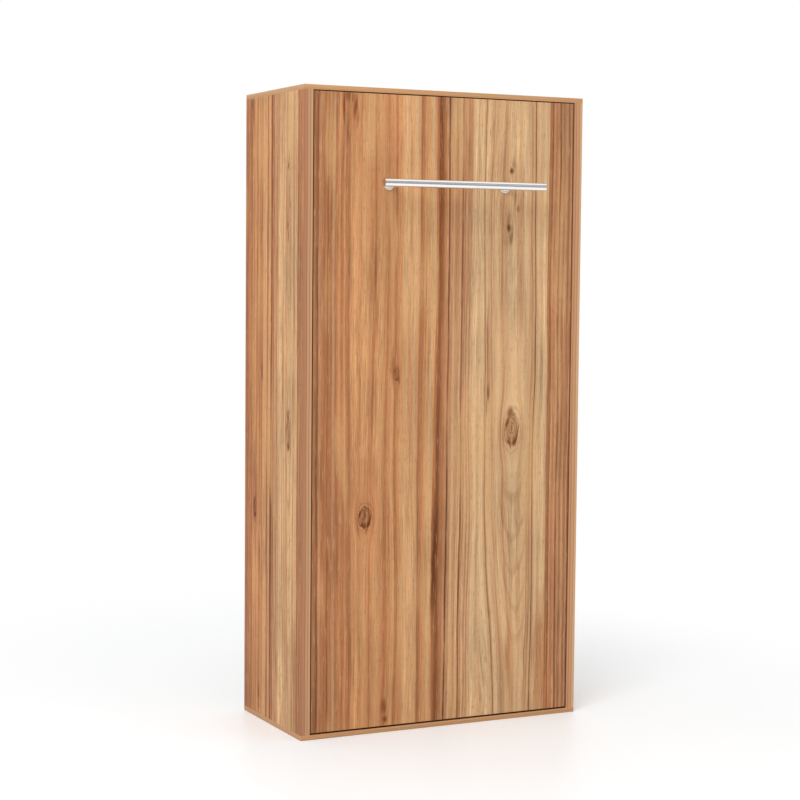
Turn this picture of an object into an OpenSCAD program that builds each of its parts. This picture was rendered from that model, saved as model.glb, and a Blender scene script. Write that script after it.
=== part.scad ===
// Vertical wall bed: a tall cabinet whose whole front swings down and carries the bed.
// Millimetres, +Z up. Origin: middle of the cabinet's footprint on the floor.
// X runs across the front, -Y is the room side, +Y is the wall. Drawn closed.

/* [Cabinet] */
// Width over the side panels
cabinet_w = 1050; // [1040:2:1240]
// Depth from the front face to the wall
cabinet_d = 500; // [440:5:620]
// Height from the floor to the top
cabinet_h = 2150; // [1950:5:2400]
// Thickness of the top and bottom boards; each side is two such boards glued
board_t = 16; // [15:0.5:19]

/* [Front panel] */
// Thickness of the front panel
panel_t = 18; // [16:0.5:19]
// Open joint between the front panel and the side panels
side_gap = 3; // [2:0.5:5]
// Open joint above the front panel
top_gap = 3; // [2:0.5:6]

/* [Fold] */
// Pivot axis behind the front face
pivot_in = 32; // [31:0.5:36]
// Free room that the panel's lower edge keeps over the bottom board as it swings
sweep_gap = 2; // [1:0.5:4]

/* [Handle and leg] */
// Length of the handle bar
handle_len = 600; // [520:10:800]
// Diameter of the handle bar
handle_bar_d = 26; // [20:2:28]
// Reach from the front face to the bar's axis, which is also the leg's length
handle_reach = 132; // [130:1:150]
// Distance from the cabinet's top down to the bar's axis
handle_drop = 315; // [240:5:420]
// Distance between the two posts
post_pitch = 440; // [380:10:480]

/* [Bed] */
// Free height between the bed frame's head end and the top board; the mattress takes the rest
head_gap = 41; // [30:1:140]
// Thickness of the mattress at its border
mattress_t = 196; // [140:4:200]
// Free room between the cabinet's side and the frame, for the struts
mech_room = 35; // [34:0.5:36]
// Number of sprung slats
slat_n = 13; // [10:1:16]

/* [Hidden] */
$fn = 48;
FACETS_ARC = 1440;

// Carcass
side_t = 2 * board_t;
inner_w = cabinet_w - 2 * side_t;
inner_x = inner_w / 2;
front_y = -cabinet_d / 2;
back_y = cabinet_d / 2;
inner_top = cabinet_h - board_t;
edging_t = 1;
back_t = 3;
rebate_w = 10;
rebate_d = back_t + 0.2;
back_play = 0.5;
rail_board_t = 16;
rail_board_h = 150;
anchor_d = 8;
anchor_inset = 93;
dowel_d = 8;
dowel_l = 30;
dowel_depth = 15.2;
confirmat_d = 5;
confirmat_l = 50;
confirmat_head_d = 10;
confirmat_head_t = 3;
confirmat_y = [-0.36, 0, 0.36];
joint_z = cabinet_h / 2;
joint_web = 1.2;

// Fold axis: in the open pose the bar lies just over the floor
leg_gap = 1;
handle_z = cabinet_h - handle_drop;
pivot_y = front_y + pivot_in;
pivot_z = pivot_in + handle_reach + handle_bar_d / 2 + leg_gap;
pivot_over = pivot_z - board_t;
panel_w = inner_w - 2 * side_gap;
// Rounded to tenths, so that the panel and its edging share exact faces
panel_z0 = pivot_z - floor(10 * sqrt(pow(pivot_over - sweep_gap, 2) - pow(pivot_in, 2))) / 10;
panel_z1 = inner_top - top_gap;
panel_back_y = front_y + panel_t;

// Steel bed frame, tube laid against the panel's back
rail_w = 25;
rail_d = 40;
rail_wall = 2;
rail_r = 3;
frame_x = inner_x - mech_room;
frame_z0 = pivot_z - 85;
frame_z1 = inner_top - head_gap;
mattress_l = frame_z1 - frame_z0;
frame_y0 = panel_back_y;
frame_y1 = frame_y0 + rail_d;
rail_in_x = frame_x - rail_w;
cross_rail_z = (frame_z0 + handle_z) / 2;
lower_rail_z = (frame_z0 + cross_rail_z) / 2;
cap_head = 2;
cap_play = 0.15;

// Slats and their shoes
slat_w = 63;
slat_t = 8;
slat_rise = 12;
slat_bevel = 1.5;
shoe_w = 75;
shoe_t = 17;
shoe_x0 = rail_in_x - 18;
shoe_wall = 3;
slat_half = rail_in_x + 8;
slat_y = frame_y1 + shoe_wall + 0.4;
slat_r = (slat_half * slat_half + slat_rise * slat_rise) / (2 * slat_rise);
slat_inset = 45;
slat_z0 = frame_z0 + slat_inset;
slat_pitch = (mattress_l - 2 * slat_inset) / (slat_n - 1);
crown_y = slat_y + slat_t + slat_rise;

// Mattress
mattress_w = inner_w - 86;
soft_gap = 0.4;
mattress_y0 = crown_y + soft_gap;
mattress_crown = 8;
mattress_draw = 5;
tuft_n = [5, 9];
tuft_dip = 7;
mattress_cols = 20;
mattress_rows = 36;

// Hinge plate let flush into the side panel
plate_t = 4;
plate_play = 0.4;
plate_y0 = -12;
plate_y1 = 72;
plate_z0 = -46;
plate_z1 = 228;
plate_r = 10;
plate_screw_d = 5;
plate_screw_head = 10;
plate_screw_l = 22;
plate_screws = [[2, -34], [60, -34], [2, 95], [60, 95], [4, 216], [60, 150]];

// Pivot pin, bush, spacer and clip, measured along X from the cabinet's inner face
pin_d = 14;
pin_play = 0.08;
pin_head_d = 26;
head_t = 3;
lever_t = 5;
lever_x = frame_x + lever_t;
bush_wall = 2;
bush_flange_d = 24;
bush_flange_t = 2;
spacer_d = 20;
clip_t = 1.5;
clip_d = 20;
clip_gap = 0.2;
pin_end_x = frame_x - 5;
access_d = 28;

// Gas strut: fixed stud and lever stud from the pivot, as [to the wall, up]
stud_fixed = [50, 198];
stud_lever = [10, -120];
strut_x = frame_x + 20;
barrel_d = 20;
barrel_bore = 17;
barrel_from = 14;
barrel_l = 158;
barrel_to = -barrel_from - barrel_l;
guide_l = 15;
rod_d = 10;
rod_play = 0.1;
rod_l = 174;
piston_t = 8;
eye_d = 20;
eye_t = 10;
eye_neck_d = 14;
stud_d = 8;
stud_play = 0.08;
stud_shoulder_d = 12;
washer_t = 1.2;
washer_d = 20;

// Length and angle of the strut when closed and when open, for the couplings
function turned(p, a) = [p[0] * cos(a) - p[1] * sin(a), p[0] * sin(a) + p[1] * cos(a)];
open_angle = 90;
strut_from = stud_lever - stud_fixed;
strut_to = turned(stud_lever, open_angle) - stud_fixed;
strut_l0 = norm(strut_from);
strut_l1 = norm(strut_to);
strut_a0 = atan2(strut_from[1], strut_from[0]);
strut_a1 = atan2(strut_to[1], strut_to[0]);
// The strut follows the fold at constant ratios, so part way its pin strays in the lever:
// a slot takes that up
function stray(t) =
    let (l = strut_l0 + (strut_l1 - strut_l0) * t, a = strut_a0 + (strut_a1 - strut_a0) * t)
    turned(stud_fixed + l * [cos(a), sin(a)], -open_angle * t) - stud_lever;
slot_to = stray(0.5);
slot_play = 3.8;
slot_d = stud_d + 2 * slot_play;
slot_side = slot_d / 2 - 0.03;

// Lever
lever_r = 19;
lever_top = 135;
lever_front = -13;
lever_back = 25;
lever_bolt_z = [45, 115];
lever_bolt_y = 6;
bolt_d = 8;
bolt_play = 0.3;
bolt_head_d = 14;
bolt_head_t = 3.6;
nut_t = 6.5;
nut_d = 14.4;

// Stops that the panel closes against
stop_share = 0.35;
stop_drop = 40;
stop_z = [pivot_z + stop_share * mattress_l, frame_z1 - stop_drop];
stop_screw_pitch = 24;
stop_screw_in = 16;
stop_w = 26;
stop_l = 40;
stop_t = 3;
buffer_d = 18;
buffer_t = 8;
buffer_gap = 0.3;

// Handle
tube_wall = 1.5;
post_d = 16;
flange_d = 38;
flange_t = 6;
flange_fillet = 4;
handle_bolt_grip = 34;
bar_cap_t = 3;

// Panel screws, through the frame's front wall
panel_screw_d = 4.5;
panel_screw_head_d = 9;
panel_screw_in = 14;
panel_screw_inset = 130;
cross_screw_x = post_pitch / 2;
panel_screw_z = [
    for (k = [0 : 4])
        frame_z0 + panel_screw_inset + k * (mattress_l - 2 * panel_screw_inset) / 4
];

// Mattress bow at the foot
bow_d = 14;
bow_wall = 1.5;
bow_half = 300;
bow_r = 45;
bow_end_y = mattress_y0 + 130;
bow_tab_t = 3;
bow_z = frame_z0 - bow_tab_t - bow_d / 2 + 0.5;

// Straps
strap_w = 40;
strap_t = 1.6;
strap_z = [for (f = [0.25, 0.75]) slat_z0 + (floor((slat_n - 1) * f) + 0.5) * slat_pitch];
strap_gap = 0.4;
strap_r = 12;
rivet_d = 4;
buckle_x = 150;
buckle = [58, 10, 54];

// Helpers
module box(x0, x1, y0, y1, z0, z1)
    translate([x0, y0, z0])
        cube([x1 - x0, y1 - y0, z1 - z0]);

module both()
    for (s = [0, 1])
        mirror([s, 0, 0])
            children();

// A round bar along X, Y or Z between two values
module bar_x(x0, x1, d)
    translate([x0, 0, 0])
        rotate([0, 90, 0])
            cylinder(h = x1 - x0, d = d);

module bar_y(y0, y1, d)
    translate([0, y0, 0])
        rotate([-90, 0, 0])
            cylinder(h = y1 - y0, d = d);

module bar_z(z0, z1, d)
    translate([0, 0, z0])
        cylinder(h = z1 - z0, d = d);

// Rounded rectangle from the origin's centre
module rounded(w, d, r) {
    square([w - 2 * r, d], center = true);
    square([w, d - 2 * r], center = true);
    for (sx = [-1, 1], sy = [-1, 1])
        translate([sx * (w / 2 - r), sy * (d / 2 - r)])
            circle(r);
}

module tube_profile(w, d)
    difference() {
        rounded(w, d, rail_r);
        rounded(w - 2 * rail_wall, d - 2 * rail_wall, rail_r - rail_wall);
    }

// A flat shape drawn in [to the wall, up] from the pivot, as a plate between two X values
module pivot_plate(x0, x1)
    translate([x0, pivot_y, pivot_z])
        rotate([90, 0, 90])
            linear_extrude(height = x1 - x0)
                children();

module at_pivot(p)
    translate([0, pivot_y + p[0], pivot_z + p[1]])
        children();

// The strut's own frame: its length runs down from the fixed stud
module along_strut()
    at_pivot(stud_fixed)
        rotate([strut_a0 + 90, 0, 0])
            children();

// Carcass
module confirmat_at(top)
    for (f = confirmat_y)
        translate([inner_x + side_t / 2, f * cabinet_d, top ? cabinet_h : 0])
            mirror([0, 0, top ? 1 : 0])
                children();

module confirmat(play)
    union() {
        bar_z(0, confirmat_l + play, confirmat_d + play);
        translate([0, 0, -0.01])
            cylinder(h = confirmat_head_t + 0.01, d1 = confirmat_head_d, d2 = confirmat_d + play);
    }

module dowel_spots()
    for (z = [board_t + 35, board_t + 115, inner_top - 115, inner_top - 35])
        translate([0, back_y - rebate_d - rail_board_t / 2, z])
            children();

module hinge_outline(grow)
    translate([(plate_y0 + plate_y1) / 2, (plate_z0 + plate_z1) / 2])
        rounded(plate_y1 - plate_y0 + 2 * grow, plate_z1 - plate_z0 + 2 * grow, plate_r + grow);

module side_panel()
    difference() {
        box(inner_x, inner_x + side_t, front_y + edging_t, back_y, board_t, inner_top);
        // Rebate for the thin back
        box(inner_x - 1, inner_x + rebate_w, back_y - rebate_d, back_y + 1, 0, cabinet_h);
        // Pocket for the hinge plate, with deeper seats for the heads behind it
        pivot_plate(inner_x - 1, inner_x + plate_t)
            hinge_outline(plate_play);
        at_pivot([0, 0])
            bar_x(inner_x, inner_x + plate_t + head_t + 0.5, pin_head_d + 1);
        at_pivot(stud_fixed)
            bar_x(inner_x, inner_x + plate_t + head_t + 0.5, stud_shoulder_d + 5);
        for (p = plate_screws)
            at_pivot(p)
                bar_x(inner_x, inner_x + plate_screw_l + 0.5, plate_screw_d - 1);
        for (top = [false, true])
            confirmat_at(top)
                confirmat(0);
        dowel_spots()
            bar_x(inner_x - 1, inner_x + dowel_depth, dowel_d);
        stop_spots()
            bar_x(inner_x - 1, inner_x + 16, plate_screw_d - 1);
    }

module side_panel_right() color("burlywood") side_panel();
module side_panel_left() color("burlywood") mirror([1, 0, 0]) side_panel();

module side_edging()
    color("peru")
        both()
            box(inner_x, inner_x + side_t, front_y, front_y + edging_t, board_t, inner_top);

// The top board is drawn once; the bottom board is its mirror image
module cap_board()
    difference() {
        box(-cabinet_w / 2 + edging_t, cabinet_w / 2 - edging_t,
            front_y + edging_t, back_y, inner_top, cabinet_h);
        box(-inner_x - rebate_w, inner_x + rebate_w,
            back_y - rebate_d, back_y + 1, inner_top - 1, inner_top + rebate_w);
        both()
            confirmat_at(true)
                confirmat(0);
    }

module cap_edging() {
    box(-cabinet_w / 2, cabinet_w / 2, front_y, front_y + edging_t, inner_top, cabinet_h);
    both()
        box(cabinet_w / 2 - edging_t, cabinet_w / 2, front_y + edging_t, back_y,
            inner_top, cabinet_h);
}

module to_bottom()
    translate([0, 0, cabinet_h])
        mirror([0, 0, 1])
            children();

module top_board() color("burlywood") cap_board();
module bottom_board() color("burlywood") to_bottom() cap_board();
module top_board_edging() color("peru") cap_edging();
module bottom_board_edging() color("peru") to_bottom() cap_edging();

module back_sheet()
    difference() {
        box(-inner_x - rebate_w + back_play, inner_x + rebate_w - back_play,
            back_y - back_t, back_y, joint_z + joint_web / 2 + 0.1, inner_top + rebate_w - back_play);
        anchor_spots()
            bar_y(0, back_y + 1, anchor_d);
    }

module back_panel_upper() color("wheat") back_sheet();
module back_panel_lower() color("wheat") to_bottom() back_sheet();

// H-section strip that holds the two sheets in line
module back_joint_strip()
    color("ivory")
        difference() {
            box(-inner_x, inner_x, back_y - back_t - 1.3, back_y, joint_z - 9, joint_z + 9);
            for (s = [-1, 1])
                translate([0, 0, s * (joint_web / 2 + 5.5) + joint_z])
                    box(-inner_x - 1, inner_x + 1, back_y - back_t - 0.1, back_y + 1, -5.5, 5.5);
            for (s = [-1, 1])
                translate([0, 0, s * 10.1 + joint_z])
                    box(-inner_x - 1, inner_x + 1, back_y - back_t, back_y + 1, -4, 4);
        }

module anchor_spots()
    both()
        for (z = [board_t + rail_board_h / 2, inner_top - rail_board_h / 2])
            translate([inner_x - anchor_inset, 0, z])
                children();

module back_rail()
    difference() {
        box(-inner_x, inner_x, back_y - rebate_d - rail_board_t, back_y - rebate_d,
            inner_top - rail_board_h, inner_top);
        anchor_spots()
            bar_y(0, back_y + 1, anchor_d);
        both()
            dowel_spots()
                bar_x(inner_x - dowel_depth, inner_x + 1, dowel_d);
    }

module back_rail_top() color("burlywood") back_rail();
module back_rail_bottom() color("burlywood") to_bottom() back_rail();

module rail_dowels()
    color("wheat")
        both()
            dowel_spots()
                bar_x(inner_x - dowel_l / 2, inner_x + dowel_l / 2, dowel_d);

module carcass_screws()
    color("silver")
        both()
            for (top = [false, true])
                confirmat_at(top)
                    difference() {
                        confirmat(0);
                        translate([0, 0, -1])
                            cylinder(h = 3.5, d = 4, $fn = 6);
                        bar_z(-1, 0, confirmat_head_d + 1);
                    }

// Hinge plates and pivots
module hinge_plate()
    difference() {
        pivot_plate(inner_x, inner_x + plate_t)
            hinge_outline(0);
        at_pivot([0, 0])
            bar_x(inner_x - 1, inner_x + plate_t + 1, pin_d);
        at_pivot(stud_fixed)
            bar_x(inner_x - 1, inner_x + plate_t + 1, stud_shoulder_d);
        for (p = plate_screws)
            at_pivot(p)
                union() {
                    bar_x(inner_x - 1, inner_x + plate_t + 1, plate_screw_d);
                    translate([inner_x - 0.01, 0, 0])
                        rotate([0, 90, 0])
                            cylinder(h = 2.51, d1 = plate_screw_head, d2 = plate_screw_d);
                }
    }

module hinge_plate_right() color("gray") hinge_plate();
module hinge_plate_left() color("gray") mirror([1, 0, 0]) hinge_plate();

module hinge_plate_screws()
    color("silver")
        both()
            for (p = plate_screws)
                at_pivot(p)
                    difference() {
                        union() {
                            translate([inner_x, 0, 0])
                                rotate([0, 90, 0])
                                    cylinder(h = 2.5, d1 = plate_screw_head, d2 = plate_screw_d);
                            bar_x(inner_x + 2.4, inner_x + plate_t, plate_screw_d);
                            bar_x(inner_x + plate_t - 0.1, inner_x + plate_screw_l, plate_screw_d - 1);
                        }
                        bar_x(inner_x - 1, inner_x + 1.6, 3.6);
                    }

module pivot_pin()
    at_pivot([0, 0])
        union() {
            bar_x(pin_end_x, inner_x + plate_t + 0.1, pin_d);
            bar_x(inner_x + plate_t, inner_x + plate_t + head_t, pin_head_d);
        }

module pivot_pin_right() color("silver") pivot_pin();
module pivot_pin_left() color("silver") mirror([1, 0, 0]) pivot_pin();

module pivot_spacers()
    color("dimgray")
        both()
            at_pivot([0, 0])
                difference() {
                    bar_x(lever_x + bush_flange_t + clip_gap, inner_x, spacer_d);
                    bar_x(frame_x, inner_x + 1, pin_d);
                }

module pivot_clips()
    color("black")
        both() {
            at_pivot([0, 0])
                difference() {
                    bar_x(frame_x - clip_gap - clip_t, frame_x - clip_gap, clip_d);
                    bar_x(frame_x - 10, frame_x, pin_d);
                    translate([0, 0, -pin_d])
                        box(frame_x - 10, frame_x, -1.5, 1.5, -10, 10);
                }
            at_pivot(stud_fixed)
                difference() {
                    bar_x(strut_x - eye_t / 2 - clip_gap - clip_t, strut_x - eye_t / 2 - clip_gap,
                        stud_shoulder_d + 2);
                    bar_x(frame_x, inner_x, stud_d);
                    translate([0, 0, -stud_d])
                        box(frame_x, inner_x, -1, 1, -6, 6);
                }
        }

module pivot_bushes()
    color("ivory")
        both()
            at_pivot([0, 0])
                difference() {
                    union() {
                        bar_x(frame_x, lever_x + 0.1, pin_d + 2 * bush_wall);
                        bar_x(lever_x, lever_x + bush_flange_t, bush_flange_d);
                    }
                    bar_x(frame_x - 1, inner_x, pin_d + 2 * pin_play);
                }

// Struts
module strut_studs()
    color("silver")
        both()
            at_pivot(stud_fixed)
                union() {
                    bar_x(inner_x + plate_t, inner_x + plate_t + head_t, stud_shoulder_d + 4);
                    bar_x(strut_x + eye_t / 2 + clip_gap, inner_x + plate_t + 0.1, stud_shoulder_d);
                    bar_x(strut_x - eye_t / 2 - 4, inner_x, stud_d);
                }

// An eye round the origin with its neck going down to the given depth
module strut_eye(down)
    difference() {
        union() {
            bar_x(-eye_t / 2, eye_t / 2, eye_d);
            translate([0, 0, -down])
                cylinder(h = down - 4, d = eye_neck_d - 4);
        }
        bar_x(-eye_t, eye_t, stud_d + 2 * stud_play);
    }

// Half section of the barrel, closed at the eye's end and with the rod's guide at the other
module barrel_section()
    polygon([
        [0, -barrel_from], [barrel_d / 2 - 1.5, -barrel_from], [barrel_d / 2, -barrel_from - 1.5],
        [barrel_d / 2, barrel_to + 12], [barrel_d / 2 - 0.9, barrel_to + 10.5],
        [barrel_d / 2 - 0.9, barrel_to + 8.5], [barrel_d / 2, barrel_to + 7],
        [barrel_d / 2, barrel_to + 2], [barrel_d / 2 - 2, barrel_to],
        [rod_d / 2 + rod_play, barrel_to], [rod_d / 2 + rod_play, barrel_to + guide_l],
        [barrel_bore / 2, barrel_to + guide_l], [barrel_bore / 2, -barrel_from - 6],
        [0, -barrel_from - 6]
    ]);

// The strut is symmetrical in X, so the left one is the same at the other side's X
module strut_barrel(x)
    translate([x, 0, 0])
        along_strut()
            union() {
                strut_eye(barrel_from + 1);
                rotate_extrude()
                    barrel_section();
            }

module strut_rod(x)
    translate([x, 0, 0])
        along_strut()
            union() {
                translate([0, 0, -strut_l0])
                    rotate([180, 0, 0])
                        strut_eye(17);
                bar_z(-strut_l0 + 9, -strut_l0 + 20, eye_neck_d);
                bar_z(-strut_l0 + 19, -strut_l0 + rod_l, rod_d);
                bar_z(-strut_l0 + rod_l - piston_t, -strut_l0 + rod_l, barrel_bore - 2 * rod_play);
            }

// Pin that rides in the lever's slot, with a washer each side of the lever
module strut_pin()
    at_pivot(stud_lever)
        union() {
            bar_x(strut_x + eye_t / 2 + clip_gap, strut_x + eye_t / 2 + clip_gap + 2.5,
                stud_shoulder_d);
            bar_x(frame_x - 4, strut_x + eye_t / 2 + 1, stud_d);
            bar_x(lever_x + clip_gap + washer_t - 0.1, strut_x - eye_t / 2 - clip_gap,
                stud_shoulder_d);
            bar_x(lever_x + clip_gap, lever_x + clip_gap + washer_t, washer_d);
            bar_x(frame_x - clip_gap - washer_t, frame_x - clip_gap, washer_d);
        }

module strut_barrel_right() color("dimgray") strut_barrel(strut_x);
module strut_barrel_left() color("dimgray") strut_barrel(-strut_x);
module strut_rod_right() color("silver") strut_rod(strut_x);
module strut_rod_left() color("silver") strut_rod(-strut_x);
module strut_pin_right() color("silver") strut_pin();
module strut_pin_left() color("silver") mirror([1, 0, 0]) strut_pin();

// Stops
module stop_spots()
    for (z = stop_z, dz = [-stop_screw_pitch / 2, stop_screw_pitch / 2])
        translate([0, panel_back_y + buffer_t + buffer_gap + stop_screw_in + stop_t, z + dz])
            children();

module stop_brackets()
    color("gray")
        both()
            difference() {
                for (z = stop_z)
                    translate([0, panel_back_y + buffer_gap + buffer_t, z])
                        union() {
                            box(inner_x - stop_w, inner_x, 0, stop_t, -stop_l / 2, stop_l / 2);
                            box(inner_x - stop_t, inner_x, 0, stop_w, -stop_l / 2, stop_l / 2);
                        }
                stop_spots()
                    bar_x(inner_x - 20, inner_x + 1, plate_screw_d);
                for (z = stop_z)
                    translate([inner_x - stop_w / 2 - 1, 0, z])
                        bar_y(panel_back_y, panel_back_y + 20, 4);
            }

module stop_buffers()
    color("black")
        both()
            for (z = stop_z)
                translate([inner_x - stop_w / 2 - 1, panel_back_y + buffer_gap, z])
                    union() {
                        translate([0, buffer_t, 0])
                            rotate([90, 0, 0])
                                cylinder(h = buffer_t, d1 = buffer_d, d2 = buffer_d - 3);
                        bar_y(buffer_t - 0.1, buffer_t + stop_t, 4);
                        bar_y(buffer_t + stop_t, buffer_t + stop_t + 2.5, 6);
                    }

module stop_screws()
    color("silver")
        both()
            stop_spots()
                union() {
                    bar_x(inner_x - stop_t, inner_x, plate_screw_d);
                    bar_x(inner_x - 0.1, inner_x + 15.5, plate_screw_d - 1);
                    difference() {
                        bar_x(inner_x - stop_t - 2.2, inner_x - stop_t, 9);
                        bar_x(inner_x - stop_t - 3, inner_x - stop_t - 0.8, 3.4);
                    }
                }

// Front panel
module panel_screw_spots() {
    both()
        for (z = panel_screw_z)
            translate([frame_x - rail_w / 2, 0, z])
                children();
    for (z = [cross_rail_z, lower_rail_z], x = [-cross_screw_x, cross_screw_x])
        translate([x, 0, z])
            children();
}

module handle_spots()
    for (s = [-1, 1])
        translate([s * post_pitch / 2, 0, handle_z])
            children();

module front_panel()
    color("peru")
        difference() {
            box(-panel_w / 2 + edging_t, panel_w / 2 - edging_t, front_y, panel_back_y,
                panel_z0 + edging_t, panel_z1 - edging_t);
            handle_spots()
                bar_y(front_y - 1, panel_back_y + 1, bolt_d + 1);
            panel_screw_spots()
                bar_y(panel_back_y - panel_screw_in, panel_back_y + 1, panel_screw_d - 1);
        }

module front_panel_edging()
    color("sienna") {
        for (z = [panel_z0, panel_z1 - edging_t])
            box(-panel_w / 2, panel_w / 2, front_y, panel_back_y, z, z + edging_t);
        both()
            box(panel_w / 2 - edging_t, panel_w / 2, front_y, panel_back_y,
                panel_z0 + edging_t, panel_z1 - edging_t);
    }

// Heads sit on the inside of the tube's front wall
module panel_screws()
    color("silver")
        panel_screw_spots()
            difference() {
                union() {
                    bar_y(panel_back_y - panel_screw_in + 0.4, frame_y0 + 0.1, panel_screw_d - 1);
                    bar_y(frame_y0, frame_y0 + rail_wall, panel_screw_d);
                    bar_y(frame_y0 + rail_wall, frame_y0 + rail_wall + 2.5, panel_screw_head_d);
                }
                bar_y(frame_y0 + rail_wall + 1, frame_y0 + rail_wall + 3, 3.4);
            }

// Bed frame
// Screw holes in the front wall, and driver holes in the rear wall
module panel_screw_holes()
    panel_screw_spots()
        union() {
            bar_y(frame_y0 - 1, frame_y0 + rail_wall + 1, panel_screw_d);
            bar_y(frame_y1 - rail_wall - 1, frame_y1 + 1, panel_screw_head_d + 2);
        }

module lever_bolt_spots()
    for (z = lever_bolt_z)
        at_pivot([lever_bolt_y, z])
            children();

module side_rail()
    difference() {
        translate([rail_in_x + rail_w / 2, (frame_y0 + frame_y1) / 2, frame_z0])
            linear_extrude(height = mattress_l)
                tube_profile(rail_w, rail_d);
        at_pivot([0, 0])
            bar_x(rail_in_x - 1, frame_x + 1, access_d - 4);
        lever_bolt_spots()
            bar_x(rail_in_x - 1, frame_x + 1, bolt_d + bolt_play);
        panel_screw_holes();
        for (z = strap_z)
            translate([0, frame_y0 + rail_d / 2, z])
                bar_x(frame_x - 5, frame_x + 1, rivet_d);
    }

module side_rail_right() color("lightgray") side_rail();
module side_rail_left() color("lightgray") mirror([1, 0, 0]) side_rail();

module across(z)
    translate([-rail_in_x, (frame_y0 + frame_y1) / 2, z])
        rotate([90, 0, 90])
            linear_extrude(height = 2 * rail_in_x)
                rotate(90)
                    tube_profile(rail_w, rail_d);

module head_rail() color("lightgray") across(frame_z1 - rail_w / 2);

module foot_rail()
    color("lightgray")
        difference() {
            across(frame_z0 + rail_w / 2);
            bow_screw_spots()
                bar_z(-5, 5, 6);
        }

module cross_rail_upper()
    color("lightgray")
        difference() {
            across(handle_z);
            handle_spots()
                bar_y(frame_y0 - 1, frame_y1 + 1, bolt_d + bolt_play);
        }

module low_cross_rail(z)
    color("lightgray")
        difference() {
            across(z);
            panel_screw_holes();
        }

module cross_rail_middle() low_cross_rail(cross_rail_z);
module cross_rail_lower() low_cross_rail(lower_rail_z);

module rail_end_caps()
    color("black")
        both()
            for (s = [0, 1])
                translate([rail_in_x + rail_w / 2, (frame_y0 + frame_y1) / 2,
                    s == 0 ? frame_z0 : frame_z1])
                    mirror([0, 0, s])
                        union() {
                            translate([0, 0, -cap_head])
                                linear_extrude(height = cap_head)
                                    rounded(rail_w, rail_d, rail_r);
                            linear_extrude(height = 12)
                                rounded(rail_w - 2 * rail_wall - 2 * cap_play,
                                    rail_d - 2 * rail_wall - 2 * cap_play, 1);
                        }

// Levers
module lever_outline()
    difference() {
        union() {
            polygon([
                [lever_front, lever_top - 8], [lever_front + 8, lever_top],
                [lever_back - 8, lever_top], [lever_back, lever_top - 8],
                [stud_lever[0] + lever_r - 0.5, stud_lever[1] - 2],
                [stud_lever[0] - lever_r + 0.5, stud_lever[1] - 2]
            ]);
            translate(stud_lever)
                circle(lever_r);
        }
        circle(d = pin_d + 2 * bush_wall);
        for (z = lever_bolt_z)
            translate([lever_bolt_y, z])
                circle(d = bolt_d + bolt_play);
        slot();
    }

// Round-ended slot from the lever stud to the far point of the pin's stray
module slot() {
    translate(stud_lever)
        circle(d = slot_d);
    translate(stud_lever + slot_to)
        circle(d = slot_d);
    translate(stud_lever)
        rotate(atan2(slot_to[1], slot_to[0]))
            translate([0, -slot_side])
                square([norm(slot_to), 2 * slot_side]);
}

module lever()
    pivot_plate(frame_x, lever_x)
        lever_outline();

module lever_right() color("gray") lever();
module lever_left() color("gray") mirror([1, 0, 0]) lever();

module lever_bolts()
    color("silver")
        both()
            lever_bolt_spots()
                difference() {
                    union() {
                        bar_x(rail_in_x - nut_t - 1, lever_x + 0.1, bolt_d);
                        bar_x(lever_x, lever_x + bolt_head_t, bolt_head_d);
                    }
                    translate([lever_x + bolt_head_t - 2.2, 0, 0])
                        rotate([0, 90, 0])
                            cylinder(h = 3, d = 6, $fn = 6);
                }

module lever_nuts()
    color("silver")
        both()
            lever_bolt_spots()
                difference() {
                    translate([rail_in_x - nut_t, 0, 0])
                        rotate([0, 90, 0])
                            cylinder(h = nut_t, d = nut_d, $fn = 6);
                    bar_x(rail_in_x - nut_t - 1, rail_in_x + 1, bolt_d);
                }

// Slats
module slat_spots()
    for (k = [0 : slat_n - 1])
        translate([0, 0, slat_z0 + k * slat_pitch])
            children();

slat_angle = 2 * asin(slat_half / slat_r);
module slats()
    color("tan")
        slat_spots()
            translate([0, crown_y - slat_r, 0])
                rotate([0, 0, 90 - slat_angle / 2])
                    rotate_extrude(angle = slat_angle, $fn = FACETS_ARC)
                        polygon([
                            [slat_r - slat_t, -slat_w / 2 + slat_bevel],
                            [slat_r - slat_t + slat_bevel, -slat_w / 2],
                            [slat_r - slat_bevel, -slat_w / 2],
                            [slat_r, -slat_w / 2 + slat_bevel],
                            [slat_r, slat_w / 2 - slat_bevel],
                            [slat_r - slat_bevel, slat_w / 2],
                            [slat_r - slat_t + slat_bevel, slat_w / 2],
                            [slat_r - slat_t, slat_w / 2 - slat_bevel]
                        ]);

module slat_shoes()
    color("black")
        both()
            slat_spots()
                difference() {
                    box(shoe_x0, frame_x - 2, frame_y1, frame_y1 + shoe_t, -shoe_w / 2, shoe_w / 2);
                    // Pocket for the slat's end
                    box(shoe_x0 - 1, slat_half + 1, frame_y1 + shoe_wall,
                        frame_y1 + shoe_t - shoe_wall, -slat_w / 2 - 0.6, slat_w / 2 + 0.6);
                }

// Mattress
// Height over the flat underside at u, v in -1..1: crowned, with rows of tufts
function dome(u) = 1 - pow(abs(u), 6);
function tufts(u, v) =
    let (a = sin(90 * tuft_n[0] * (u + 1)), b = sin(90 * tuft_n[1] * (v + 1)))
    pow(abs(a * b), 3);
function mattress_top(u, v) =
    mattress_crown * dome(u) * dome(v) - tuft_dip * tufts(u, v) * dome(u) * dome(v);

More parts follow.
